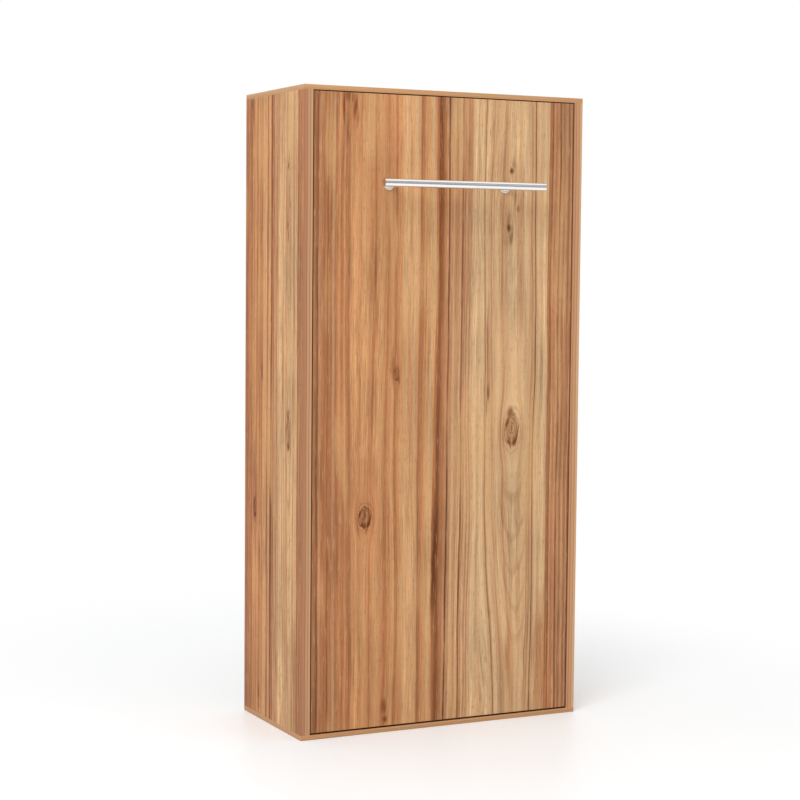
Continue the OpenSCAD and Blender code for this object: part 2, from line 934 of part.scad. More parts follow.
module mattress() {
    nx = mattress_cols;
    nz = mattress_rows;
    mid = (frame_z0 + frame_z1) / 2;
    hw = mattress_w / 2;
    hl = mattress_l / 2;
    // One ring round the border at a given height, drawn in by d
    function ring(y, d) = [
        for (k = [0 : nx - 1]) [-hw + d + (2 * hw - 2 * d) * k / nx, y, mid - hl + d],
        for (k = [0 : nz - 1]) [hw - d, y, mid - hl + d + (2 * hl - 2 * d) * k / nz],
        for (k = [0 : nx - 1]) [hw - d - (2 * hw - 2 * d) * k / nx, y, mid + hl - d],
        for (k = [0 : nz - 1]) [-hw + d, y, mid + hl - d - (2 * hl - 2 * d) * k / nz]
    ];
    n = 2 * (nx + nz);
    edge = 9;
    levels = [
        [0, edge], [edge, 0], [mattress_t * 0.5, mattress_draw], [mattress_t - edge, 0]
    ];
    rings = [for (l = levels) each ring(mattress_y0 + l[0], l[1])];
    top0 = len(rings);
    top_and_centre = [
        for (j = [0 : nz]) for (i = [0 : nx])
            let (u = 2 * i / nx - 1, v = 2 * j / nz - 1)
            [u * (hw - edge), mattress_y0 + mattress_t + mattress_top(u, v), mid + v * (hl - edge)],
        [0, mattress_y0, mid]
    ];
    centre = len(rings) + len(top_and_centre) - 1;
    function at(i, j) = top0 + j * (nx + 1) + i;
    border = [
        for (k = [0 : nx - 1]) at(k, 0),
        for (k = [0 : nz - 1]) at(nx, k),
        for (k = [0 : nx - 1]) at(nx - k, nz),
        for (k = [0 : nz - 1]) at(0, nz - k)
    ];
    last = (len(levels) - 1) * n;
    faces = [
        for (k = [0 : n - 1]) [centre, k, (k + 1) % n],
        for (l = [0 : len(levels) - 2]) for (k = [0 : n - 1])
            let (k2 = (k + 1) % n)
            each [
                [l * n + k, (l + 1) * n + k, (l + 1) * n + k2],
                [l * n + k, (l + 1) * n + k2, l * n + k2]
            ],
        for (k = [0 : n - 1])
            let (k2 = (k + 1) % n)
            each [[last + k, border[k], border[k2]], [last + k, border[k2], last + k2]],
        for (j = [0 : nz - 1]) for (i = [0 : nx - 1])
            each [
                [at(i, j), at(i, j + 1), at(i + 1, j + 1)],
                [at(i, j), at(i + 1, j + 1), at(i + 1, j)]
            ]
    ];
    color("whitesmoke")
        polyhedron(points = concat(rings, top_and_centre), faces = faces, convexity = 4);
}

// Bow that keeps the mattress from sliding at the foot
module bow_screw_spots()
    both()
        for (s = [-10.5, 10.5])
            translate([bow_half + s, frame_y0 + rail_d / 2, frame_z0])
                children();

module bow_path(d) {
    both() {
        translate([bow_half, 0, 0])
            bar_y(frame_y0 + 8, bow_end_y - bow_r, d);
        translate([bow_half - bow_r, bow_end_y - bow_r, 0])
            rotate_extrude(angle = 90)
                translate([bow_r, 0])
                    circle(d = d);
    }
    translate([0, bow_end_y, 0])
        bar_x(-bow_half + bow_r, bow_half - bow_r, d);
}

module mattress_bow()
    color("lightgray")
        union() {
            translate([0, 0, bow_z])
                difference() {
                    bow_path(bow_d);
                    bow_path(bow_d - 2 * bow_wall);
                }
            difference() {
                both()
                    translate([bow_half, 0, 0])
                        box(-14, 14, frame_y0 + 4, frame_y1 - 4, frame_z0 - bow_tab_t, frame_z0);
                bow_screw_spots()
                    bar_z(-bow_tab_t - 1, 1, 5);
            }
        }

module bow_screws()
    color("silver")
        bow_screw_spots()
            union() {
                bar_z(-bow_tab_t - 2, rail_wall + 1, 5);
                bar_z(-bow_tab_t - 2.4, -bow_tab_t, 5.8);
            }

// Straps
strap_in_x = mattress_w / 2 + strap_gap;
strap_flat_x = strap_in_x - strap_r;
function strap_over(x) =
    mattress_y0 + mattress_t + strap_gap + mattress_crown * dome(x / (mattress_w / 2));
strap_edge = strap_over(strap_flat_x);
strap_top = strap_over(0);
// Half of the strap's inner line, from the rail over the border to the middle
strap_line = concat(
    [[frame_x + 0.1, frame_y0 + 12], [frame_x + 0.1, frame_y1 + 2],
        [strap_in_x, frame_y1 + 26]],
    [for (k = [0 : 8])
        let (a = k * 90 / 8)
        [strap_flat_x + strap_r * cos(a), strap_edge - strap_r + strap_r * sin(a)]],
    [for (k = [1 : 14])
        let (x = strap_flat_x * (1 - pow(k / 14, 2)))
        [x, strap_over(x)]]
);
function unit(v) = v / norm(v);
function strap_normal(k) =
    let (
        n = len(strap_line),
        a = strap_line[max(0, k - 1)],
        b = strap_line[min(n - 1, k + 1)],
        t = unit(b - a)
    )
    k == n - 1 ? [0, 1] : [t[1], -t[0]];

module strap_half()
    polygon(concat(
        strap_line,
        [for (k = [len(strap_line) - 1 : -1 : 0]) strap_line[k] + strap_t * strap_normal(k)]
    ));

module straps()
    color("black")
        for (z = strap_z)
            difference() {
                translate([0, 0, z - strap_w / 2])
                    linear_extrude(height = strap_w) {
                        strap_half();
                        mirror([1, 0])
                            strap_half();
                    }
                translate([0, frame_y0 + rail_d / 2, z])
                    bar_x(-inner_x, inner_x, rivet_d);
            }

module strap_rivets()
    color("silver")
        both()
            for (z = strap_z)
                translate([0, frame_y0 + rail_d / 2, z])
                    union() {
                        bar_x(frame_x - 4, frame_x + strap_t + 0.3, rivet_d);
                        bar_x(frame_x + strap_t + 0.2, frame_x + strap_t + 1.2, 9);
                    }

// Buckle lies on the webbing and clamps its doubled end, which comes out through the slot
module strap_buckles()
    color("dimgray")
        for (z = strap_z)
            translate([buckle_x, strap_over(buckle_x) + strap_t + 0.1, z])
                difference() {
                    rotate([-90, 0, 0])
                        linear_extrude(height = buckle[1])
                            rounded(buckle[0], buckle[2], 6);
                    box(-buckle[0], buckle[0], 2, 5.5, -strap_w / 2 - 1, strap_w / 2 + 1);
                    // Thumb lever's opening
                    box(-6, buckle[0], 4, buckle[1] + 1, -strap_w / 2 + 6, strap_w / 2 - 6);
                    rotate([-90, 0, 0])
                        translate([-buckle[0] / 4, 0, -1])
                            cylinder(h = buckle[1] + 2, d = 12);
                }

// Handle that is also the leg
module handle_axis()
    translate([0, front_y - handle_reach, handle_z])
        children();

module handle_bar()
    color("silver")
        handle_axis()
            difference() {
                bar_x(-handle_len / 2 + bar_cap_t, handle_len / 2 - bar_cap_t, handle_bar_d);
                bar_x(-handle_len, handle_len, handle_bar_d - 2 * tube_wall);
            }

module handle_bar_caps()
    color("silver")
        handle_axis()
            both()
                union() {
                    bar_x(handle_len / 2 - bar_cap_t, handle_len / 2, handle_bar_d);
                    bar_x(handle_len / 2 - bar_cap_t - 8, handle_len / 2 - bar_cap_t + 0.1,
                        handle_bar_d - 2 * tube_wall);
                }

// Posts are solid rod, cut to the bar's curve, threaded for the bolt at the panel's end
module handle_posts()
    color("silver")
        difference() {
            handle_spots()
                bar_y(front_y - handle_reach, front_y, post_d);
            handle_axis()
                bar_x(-handle_len, handle_len, handle_bar_d);
            handle_spots()
                bar_y(front_y - handle_bolt_grip + 16, front_y + 1, bolt_d);
        }

module handle_flanges()
    color("silver")
        handle_spots()
            translate([0, front_y, 0])
                rotate([90, 0, 0])
                    difference() {
                        rotate_extrude()
                            difference() {
                                union() {
                                    translate([post_d / 2, 0])
                                        square([(flange_d - post_d) / 2, flange_t - 2]);
                                    translate([post_d / 2, 0])
                                        square([(flange_d - post_d) / 2 - 2, flange_t]);
                                    translate([flange_d / 2 - 2, flange_t - 2])
                                        circle(2);
                                    translate([post_d / 2, flange_t])
                                        square(flange_fillet);
                                }
                                translate([post_d / 2 + flange_fillet, flange_t + flange_fillet])
                                    circle(flange_fillet);
                            }
                    }

module handle_bolts()
    color("silver")
        handle_spots()
            difference() {
                union() {
                    bar_y(front_y - handle_bolt_grip + 18, frame_y1 + 0.1, bolt_d);
                    bar_y(frame_y1, frame_y1 + 1.6, bolt_head_d + 4);
                    bar_y(frame_y1 + 1.5, frame_y1 + 5, bolt_head_d);
                }
                translate([0, frame_y1 + 3, 0])
                    rotate([-90, 0, 0])
                        cylinder(h = 3, d = 6, $fn = 6);
            }

// Draw the chosen node, or all of them
side_panel_left();
side_panel_right();
top_board();
bottom_board();
side_edging();
top_board_edging();
bottom_board_edging();
back_panel_upper();
back_panel_lower();
back_joint_strip();
back_rail_top();
back_rail_bottom();
rail_dowels();
carcass_screws();
hinge_plate_left();
hinge_plate_right();
hinge_plate_screws();
pivot_pin_left();
pivot_pin_right();
pivot_spacers();
pivot_clips();
strut_studs();
stop_brackets();
stop_buffers();
stop_screws();
front_panel();
front_panel_edging();
panel_screws();
side_rail_left();
side_rail_right();
head_rail();
foot_rail();
cross_rail_upper();
cross_rail_middle();
cross_rail_lower();
rail_end_caps();
lever_left();
lever_right();
lever_bolts();
lever_nuts();
pivot_bushes();
slats();
slat_shoes();
mattress();
mattress_bow();
bow_screws();
straps();
strap_rivets();
strap_buckles();
handle_bar();
handle_bar_caps();
handle_posts();
handle_flanges();
handle_bolts();
strut_barrel_left();
strut_barrel_right();
strut_rod_left();
strut_rod_right();
strut_pin_left();
strut_pin_right();
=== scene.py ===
"""Looks of the vertical wall bed: decor, steel fittings, slatted base, mattress and stage."""

import math

import bmesh
import bpy
from mathutils import Matrix, Vector


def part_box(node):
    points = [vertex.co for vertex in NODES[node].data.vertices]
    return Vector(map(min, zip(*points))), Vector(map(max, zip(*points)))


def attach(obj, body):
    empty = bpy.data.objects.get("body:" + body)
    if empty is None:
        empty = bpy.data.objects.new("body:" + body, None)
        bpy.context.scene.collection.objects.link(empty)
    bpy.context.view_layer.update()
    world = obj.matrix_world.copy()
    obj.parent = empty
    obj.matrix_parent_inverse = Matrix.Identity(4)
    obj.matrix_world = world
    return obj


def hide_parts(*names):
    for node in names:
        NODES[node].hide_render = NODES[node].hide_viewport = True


bl_info = {
    "name": "Vertical wall bed",
    "version": (1, 0, 0),
    "blender": (4, 5, 0),
    "location": "3D View > Sidebar > Wall bed",
    "description": "Finishes, mattress, straps and stage of a vertical wall bed",
    "category": "Object",
}

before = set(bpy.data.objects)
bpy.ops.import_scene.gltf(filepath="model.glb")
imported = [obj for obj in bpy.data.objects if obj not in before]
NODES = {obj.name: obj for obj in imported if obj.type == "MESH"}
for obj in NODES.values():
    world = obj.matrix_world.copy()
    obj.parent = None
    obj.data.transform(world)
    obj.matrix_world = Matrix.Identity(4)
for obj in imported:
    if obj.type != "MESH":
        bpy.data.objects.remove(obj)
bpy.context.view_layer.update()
CABINET_LOW, CABINET_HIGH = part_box("bottom_board")[0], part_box("top_board")[1]
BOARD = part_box("bottom_board")[1].z - CABINET_LOW.z
MATTRESS_LOW, MATTRESS_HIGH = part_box("mattress")
RAIL_LOW, RAIL_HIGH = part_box("side_rail_right")
BUCKLES_LOW, BUCKLES_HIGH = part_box("strap_buckles")


# Sizes and colours that a user may change


def tone(red, green, blue):
    """A colour named in eight-bit display values, as linear light."""

    def linear(value):
        value /= 255
        return value / 12.92 if value <= 0.04045 else ((value + 0.055) / 1.055) ** 2.4

    return (linear(red), linear(green), linear(blue))


def tones(*rows):
    """Stops of a colour ramp from rows of place, red, green and blue."""
    return [(place, tone(*paint)) for place, *paint in rows]


def colour(label, about, *paint):
    return bpy.props.FloatVectorProperty(
        name=label, description=about, subtype="COLOR", size=3, min=0, max=1, default=tone(*paint)
    )


def length(label, about, default):
    return bpy.props.FloatProperty(
        name=label, description=about, unit="LENGTH", min=0.0001, max=10, default=default
    )


def amount(label, about, default, high, low=0, **more):
    return bpy.props.FloatProperty(
        name=label, description=about, min=low, max=high, default=default, **more
    )


def angle(label, about, degrees):
    return bpy.props.FloatProperty(
        name=label, description=about, subtype="ANGLE", default=math.radians(degrees)
    )


class DecorColours(bpy.types.PropertyGroup):
    """Colours of the printed wood decor and of its edge bands."""

    honey: colour("Honey", "Light orange sapwood bands", 205, 151, 103)
    orange: colour("Orange", "Orange bands", 196, 138, 92)
    rust: colour("Rust", "Reddish bands", 178, 117, 77)
    brown: colour("Brown", "Brown bands", 160, 110, 75)
    chestnut: colour("Chestnut", "Darkest wide bands", 134, 80, 46)
    streak: colour("Streak", "Thin dark lines and knots", 92, 50, 24)
    rose: colour("Rose", "Pinkish bands", 186, 136, 99)
    tan: colour("Tan", "Tan bands", 203, 161, 119)
    pale: colour("Pale", "Palest bands", 213, 177, 134)
    glow: colour("Glow", "Yellowish light that comes and goes along the grain", 214, 168, 116)
    edge: colour("Edge band", "Golden band on the top and bottom boards", 197, 148, 102)
    # Dark brown: partly the band's own colour, partly painted shade so that the joints round the
    # front panel read as dark lines
    panel_edge: colour("Panel edge", "Band round the front panel", 112, 58, 26)
    roughness: amount(
        "Roughness", "Sheen of the decor foil, low is glossy", 0.5, 1, subtype="FACTOR"
    )


class MetalColours(bpy.types.PropertyGroup):
    """Colours of the steel, plastic and rubber pieces."""

    polished: colour("Polished steel", "Handle bar, its caps and posts", 250, 250, 249)
    satin: colour("Satin steel", "Handle flanges", 240, 236, 231)
    zinc: colour("Zinc", "Screws, bolts and pins", 190, 192, 196)
    plated: colour("Plated steel", "Hinge plates, levers and stops", 170, 172, 174)
    paint: colour("Frame paint", "Powder coat of the bed frame", 158, 160, 162)
    black: colour("Black", "Strut barrels and black plastic", 28, 28, 30)
    nylon: colour("Nylon", "Bushes and joint strip", 232, 228, 214)


class BeddingSizes(bpy.types.PropertyGroup):
    """Sizes and colours of the mattress and its straps."""

    cover: colour("Cover", "Quilted top of the mattress", 236, 234, 228)
    border: colour("Border", "Side fabric of the mattress", 206, 207, 208)
    tape: colour("Edge tape", "Piping round the mattress", 150, 156, 164)
    webbing: colour("Webbing", "Straps", 44, 45, 49)
    round_off: length("Round-off", "Radius of the mattress's edges", 0.024)
    shrink: length("Shrink", "How much smaller the shell starts than the mattress", 0.004)
    swell: length("Swell", "Furthest that filling may push the cover out", 0.007)
    tuft_pit: length("Tuft pit", "Depth of a tuft below the cover", 0.011)
    quilt_pit: length("Quilt pit", "Depth of the sewn quilting lines", 0.0032)
    tape_size: length("Tape size", "Diameter of the edge piping", 0.009)
    pressure: amount("Pressure", "Filling pressure of the cover", 6, 40)
    steps: bpy.props.IntProperty(
        name="Steps", description="Steps that the cover is given to settle",
        min=2, max=60, default=20,
    )


class StageSizes(bpy.types.PropertyGroup):
    """Camera and light."""

    place: bpy.props.FloatVectorProperty(
        name="Camera place", description="Where the camera stands", subtype="TRANSLATION",
        unit="LENGTH", size=3, default=(-3.0617, -6.0751, 1.5681),
    )
    lens: amount("Lens", "Focal length in mm on a 36 mm sensor", 87.83, 300, low=10)
    turn: angle("Turn", "Camera's turn from +Y towards +X", 26.395)
    dip: angle("Dip", "How far the camera looks down", 3.942)
    roll: angle("Roll", "Camera's roll", -0.518)
    sky: amount("Room light", "Even light from all round", 0.66, 4)
    key: amount(
        "Key lamp", "Power of the large lamp at the front left", 235, 3000, unit="POWER"
    )
    fill: amount("Fill lamp", "Power of the lamp at the front right", 12, 3000, unit="POWER")


def settings():
    return bpy.context.scene.wall_bed


# Node trees


def sum_node(operation):
    """A method that joins two values by a node of one operation."""
    return lambda self, other: self.reckon(operation, self, other)


class Value:
    """What a socket gives; a sum with it adds the node that works the sum out."""

    __add__, __sub__ = sum_node("ADD"), sum_node("SUBTRACT")
    __mul__, __truediv__ = sum_node("MULTIPLY"), sum_node("DIVIDE")
    __mod__, __pow__ = sum_node("MODULO"), sum_node("POWER")
    __gt__, __lt__ = sum_node("GREATER_THAN"), sum_node("LESS_THAN")

    def __init__(self, tree, socket):
        self.tree, self.socket = tree, socket

    def reckon(self, operation, *values):
        kind = "ShaderNodeMath" if self.socket.type == "VALUE" else "ShaderNodeVectorMath"
        return self.tree.add(kind, *values, operation=operation)

    def __rsub__(self, other):
        return self.reckon("SUBTRACT", other, self)

    def __abs__(self):
        return self.reckon("ABSOLUTE", self)


class Tree:
    """Short names for the nodes that the finishes are made of."""

    def __init__(self, tree):
        self.nodes, self.links = tree.nodes, tree.links

    def put(self, socket, value):
        """Links a value to a socket, or sets the socket where it is a plain number or colour."""
        if isinstance(value, Value):
            self.links.new(value.socket, socket)
        elif socket.type == "RGBA" and len(value) == 3:
            socket.default_value = (*value, 1.0)
        else:
            socket.default_value = value

    def add(self, kind, *values, output=0, named=None, **traits):
        """Adds a node, fills its sockets in order or by name, and gives one of its outputs."""
        made = self.nodes.new(kind)
        for key, value in traits.items():
            setattr(made, key, value)
        for socket, value in zip(made.inputs, values):
            self.put(socket, value)
        for name, value in (named or {}).items():
            self.put(made.inputs[name], value)
        return Value(self, made.outputs[output])

    def use(self, group, **named):
        """Adds a node group, fills it by socket name, and gives its outputs."""
        made = self.nodes.new("ShaderNodeGroup")
        made.node_tree = group
        for name, value in named.items():
            self.put(made.inputs[name.replace("_", " ").capitalize()], value)
        return [Value(self, socket) for socket in made.outputs]

    def most(self, first, *others):
        """The largest of some numbers."""
        for other in others:
            first = self.add("ShaderNodeMath", first, other, operation="MAXIMUM")
        return first

    def wave(self, value, pitch):
        """Sine of a length, from -1 to 1, that comes round at each pitch."""
        return self.add("ShaderNodeMath", value * (math.tau / pitch), operation="SINE")

    def span(self, vector):
        """Length of a vector."""
        return self.add("ShaderNodeVectorMath", vector, operation="LENGTH", output="Value")

    def split(self, vector):
        made = self.nodes.new("ShaderNodeSeparateXYZ")
        self.put(made.inputs[0], vector)
        return [Value(self, socket) for socket in made.outputs]

    def join(self, x, y, z=0.0):
        return self.add("ShaderNodeCombineXYZ", x, y, z)

    def noise(self, where, size, detail=2.0, rough=0.5, output=0):
        """Noise from 0 to 1; the size counts its cells in a metre, one number or one per axis."""
        sizes = size if isinstance(size, tuple) else (size, size, size)
        named = {"Vector": where * sizes, "Scale": 1.0, "Detail": detail, "Roughness": rough}
        return self.add("ShaderNodeTexNoise", output=output, named=named)

    def band(self, value, low, high, out_low=0.0, out_high=1.0):
        """Smooth step between two values."""
        return self.add(
            "ShaderNodeMapRange", value, low, high, out_low, out_high,
            interpolation_type="SMOOTHSTEP",
        )

    def mix(self, factor, first, second, blend="MIX"):
        made = self.nodes.new("ShaderNodeMix")
        made.data_type, made.blend_type = "RGBA", blend
        for place, value in ((0, factor), (6, first), (7, second)):
            self.put(made.inputs[place], value)
        return Value(self, made.outputs[2])

    def shade(self, paint, light):
        """A colour times a number."""
        return self.mix(1.0, paint, self.join(light, light, light), "MULTIPLY")

    def ramp(self, value, stops):
        """Colour ramp from a list of (place, colour)."""
        made = self.nodes.new("ShaderNodeValToRGB")
        elements = made.color_ramp.elements
        while len(elements) < len(stops):
            elements.new(0.5)
        for element, (place, paint) in zip(elements, stops):
            element.position = place
            element.color = (*paint, 1.0)
        self.put(made.inputs[0], value)
        return Value(self, made.outputs[0])

    def bump(self, height, depth, strength):
        named = {"Strength": strength, "Distance": depth, "Height": height}
        return self.add("ShaderNodeBump", named=named)

    def seen_direct(self):
        """1 for what the camera sees, itself or in metal and glass, and 0 for other light."""
        rays = self.nodes.new("ShaderNodeLightPath").outputs
        names = ("Is Camera Ray", "Is Glossy Ray", "Is Transmission Ray")
        return self.most(*(Value(self, rays[name]) for name in names))


def new_group(name, inputs, outputs):
    """An empty node group with named sockets: its tree, its inputs and its outputs."""
    made = bpy.data.node_groups.new(name, "ShaderNodeTree")
    for way, sockets in (("INPUT", inputs), ("OUTPUT", outputs)):
        for label, kind in sockets.items():
            made.interface.new_socket(label, in_out=way, socket_type="NodeSocket" + kind)
    t = Tree(made)
    given = [Value(t, s) for s in made.nodes.new("NodeGroupInput").outputs if s.name]
    return made, t, given, made.nodes.new("NodeGroupOutput").inputs


SHADER_SOCKETS = {
    "base": "Base Color", "rough": "Roughness", "metal": "Metallic",
    "gloss": "Specular IOR Level", "sheen": "Sheen Weight", "sheen_rough": "Sheen Roughness",
    "normal": "Normal",
}


def finish(label, paint, *values, **named):
    """A material; paint gives the shader's values under the short names above."""
    made = bpy.data.materials.new(label)
    made.use_nodes = True
    tree = Tree(made.node_tree)
    shader = made.node_tree.nodes["Principled BSDF"]
    where = tree.add("ShaderNodeTexCoord", output="Object")
    for name, value in paint(tree, where, *values, **named).items():
        tree.put(shader.inputs[SHADER_SOCKETS[name]], value)
    return made


def dress(material, *names):
    """Gives CAD nodes a finish through their material slots."""
    for name in names:
        for place in NODES[name].material_slots:
            place.material = material


# Wood decor, laid out in the decor's own plane: across in metres, then up in metres

DECOR_WIDTH = 1.05
# Where each colour's bands start, in mm from the left edge of the front
DECOR_BANDS = sorted((start, name) for name, starts in {
    "brown": (0, 30, 75, 100, 116, 168, 422, 503, 673, 922, 976, 994, 1016, 1028, 1044),
    "rust": (9, 64, 80, 90, 120, 138, 158, 248, 296, 328, 430, 481, 512, 944),
    "rose": (
        24, 55, 104, 519, 533, 555, 586, 605, 616, 706, 754, 845, 936, 952, 967, 984, 1004, 1036,
    ),
    "chestnut": (49, 87, 490, 582, 862, 933, 962, 1010),
    "orange": (128, 152, 175, 200, 236, 254, 286, 304, 338, 437),
    "honey": (190, 214, 264, 316, 350, 380, 412, 446, 474),
    "tan": (
        366, 398, 462, 547, 570, 598, 610, 620, 644, 667, 695, 709, 744, 760, 798, 834, 850, 865,
        888, 914,
    ),
    "streak": (529,),
    "pale": (630, 650, 676, 724, 776, 812, 872, 900),
}.items() for start in starts)
# Where one colour ramp ends and the next starts, as a ramp holds 16 bands
DECOR_CUTS = [0, 128, 264, 398, 529, 667, 798, 922, 1050]
# Middle part of a band that is even in colour; it blends into its neighbours on either side
BAND_EVEN = (0.24, 0.76)
# Knots: across and up in mm, half width and half height, how far grain parts, darkness
DECOR_KNOTS = [
    (168, 2108, 13, 40, 0.6, 0.0), (338, 1208, 9, 20, 0.8, 0.75), (228, 731, 19, 29, 0.9, 1.25),
    (301, 74, 9, 36, 0.6, 0.0), (780, 1889, 7, 15, 0.7, 0.0), (777, 1702, 9, 18, 0.8, 0.0),
    (690, 1136, 7, 30, 0.5, 0.0), (785, 1010, 22, 48, 0.95, 1.0),
    (790, 1560, 44, 250, 0.45, 0.0), (792, 560, 30, 190, 0.5, 0.0),
    (225, 1700, 40, 330, 0.3, 0.0), (640, 1250, 20, 180, 0.35, 0.0),
    (300, 420, 34, 260, 0.35, 0.0), (488, 520, 9, 130, 0.5, 0.0),
]
# What is left of red, green and blue in a knot
KNOT_TINT = (0.30, 0.16, 0.08)
KNOT_RING = math.tau / 15
# Small spots: across and up in mm, half width and half height, strength
DECOR_SPOTS = [
    (338, 1208, 10, 28, 0.30), (344, 1186, 5, 16, 0.6), (777, 1702, 5, 19, 1.0),
    (776, 1726, 5, 34, 0.5), (781, 1664, 7, 26, 0.5), (780, 1890, 4, 15, 1.0),
    (784, 1912, 4, 30, 0.45), (800, 1763, 6, 14, 0.5), (792, 1800, 3, 44, 0.5),
    (168, 2118, 26, 24, 0.5), (150, 2080, 6, 70, 0.9), (163, 2010, 4, 56, 0.65),
    (184, 2086, 7, 46, 0.75), (194, 2046, 4, 40, 0.5), (301, 90, 7, 30, 0.6),
    (304, 46, 6, 14, 0.75), (690, 1138, 5, 30, 0.7), (684, 1090, 4, 40, 0.5),
    (214, 690, 4, 34, 0.5), (236, 694, 4, 24, 0.6), (784, 1068, 5, 26, 0.85),
    (252, 1560, 4, 80, 0.35),
]
# Stains: across and up in mm, half width and half height, strength, colour
DECOR_STAINS = [
    (228, 740, 34, 90, 1.0, "rust"), (224, 800, 70, 210, 0.5, "rust"),
    (334, 1240, 20, 110, 0.95, "rust"), (168, 2080, 26, 120, 0.6, "rust"),
    (322, 1800, 30, 380, 0.45, "rust"), (110, 700, 60, 500, 0.35, "rust"),
    (784, 1000, 46, 90, 0.4, "brown"), (776, 1740, 30, 130, 0.35, "brown"),
    (760, 1300, 44, 200, 0.5, "tan"), (690, 1270, 8, 190, 0.95, "brown"),
    (748, 210, 17, 120, 0.8, "rust"), (902, 170, 34, 280, 0.7, "rust"),
    (488, 560, 11, 250, 0.95, "streak"), (494, 240, 14, 360, 0.5, "chestnut"),
    (502, 1830, 13, 420, 0.9, "chestnut"), (500, 1250, 6, 330, 0.7, "chestnut"),
    (155, 1900, 16, 260, 0.4, "brown"), (838, 400, 5, 420, 0.6, "brown"),
    (560, 1700, 40, 330, 0.4, "rust"), (610, 1950, 12, 260, 0.5, "rust"),
]
# Arched lines below the big knot: middle and top in metres, pitch, roundness and fall
ARCH_ACROSS, ARCH_UP, ARCH_PITCH, ARCH_ROUND, ARCH_FALL = 0.789, 0.86, 0.0125, 7.0, 0.10


def in_metres(across, up, depth=0):
    return (across / 1000, up / 1000, depth)


def knot_group():
    """One knot: grain lines part round it, and it has a ragged rim, rings and a dark heart."""
    made, t, given, out = new_group("Knot", {
        "Plane": "Vector", "Centre": "Vector", "Spread": "Vector", "Parting": "Float",
        "Depth": "Float", "Dark before": "Float",
    }, {"Plane": "Vector", "Dark": "Float"})
    plane, centre, spread, parting, depth, dark_before = given
    away = plane - centre
    near = away / spread
    push = t.band(t.span(near * (0.30, 0.26, 0.0)), 0.0, 1.0, 1.0, 0.0) * parting
    shift = t.join(t.split(away)[0] * (push * -0.9), 0.0)
    ragged = t.noise(near, (1.2, 0.8, 1.0), 4.0, 0.6)
    radius = t.span(near) + ragged * 1.1
    uneven = t.band(t.noise(near, (0.8, 0.6, 7.0), 1.0), 0.36, 0.6, 0.2, 1.0)
    rim = t.band(abs(radius - 1.6), 0.03, 0.3, 1.0, 0.0) * uneven
    fill = t.band(radius, 1.35, 1.75, 0.42, 0.0)
    rings = t.band(t.wave(radius, KNOT_RING), 0.1, 0.9) * t.band(radius, 1.5, 2.6, 0.7, 0.0)
    heart = t.band(t.span(near * (3.4, 1.5, 0.0)) + ragged, 0.7, 1.3, 0.85, 0.0)
    t.put(out["Plane"], plane + shift)
    t.put(out["Dark"], t.most(t.most(rim, fill, rings, heart) * depth, dark_before))
    return made


def band_stops(paints, low, high):
    """Ramp stops of the bands between two places."""
    stops = []
    shown = [b for b in DECOR_BANDS if low <= b[0] < high]
    ends = [start for start, name in shown[1:]] + [high]
    for (start, name), end in zip(shown, ends):
        for part in BAND_EVEN:
            stops.append(((start + part * (end - start) - low) / (high - low), paints[name]))
    return stops


def painted_bands(t, plane, paints):
    """Upright bands over the whole width, one colour ramp after the other."""
    place = t.split(plane)[0] * 1000.0
    wood = None
    for low, high in zip(DECOR_CUTS, DECOR_CUTS[1:]):
        painted = t.ramp((place - low) / (high - low), band_stops(paints, low, high))
        wood = painted if wood is None else t.mix(place > low, wood, painted)
    return wood


def patch(t, plane, spot, low, high):
    """An oval from its strength in the middle to 0 at its rim."""
    across, up, wide, tall, strength = spot
    near = t.span((plane - in_metres(across, up)) / in_metres(wide, tall, 1))
    return t.band(near, low, high, strength, 0.0)


def arched_lines(t, plane):
    across, up = t.split(plane)[:2]
    side = across - ARCH_ACROSS
    rise = ARCH_UP - up
    ripple = t.noise(plane, (26.0, 4.0, 0))
    arch = rise * ARCH_FALL + side ** 2.0 * ARCH_ROUND + ripple * 0.012
    window = t.band(abs(side), 0.02, 0.075, 1.0, 0.0) * t.band(rise, -0.1, 0.1)
    window = window * t.band(rise, 0.5, 0.75, 1.0, 0.0)
    return t.band(t.wave(arch, ARCH_PITCH), 0.3, 1.0) * window * 0.24


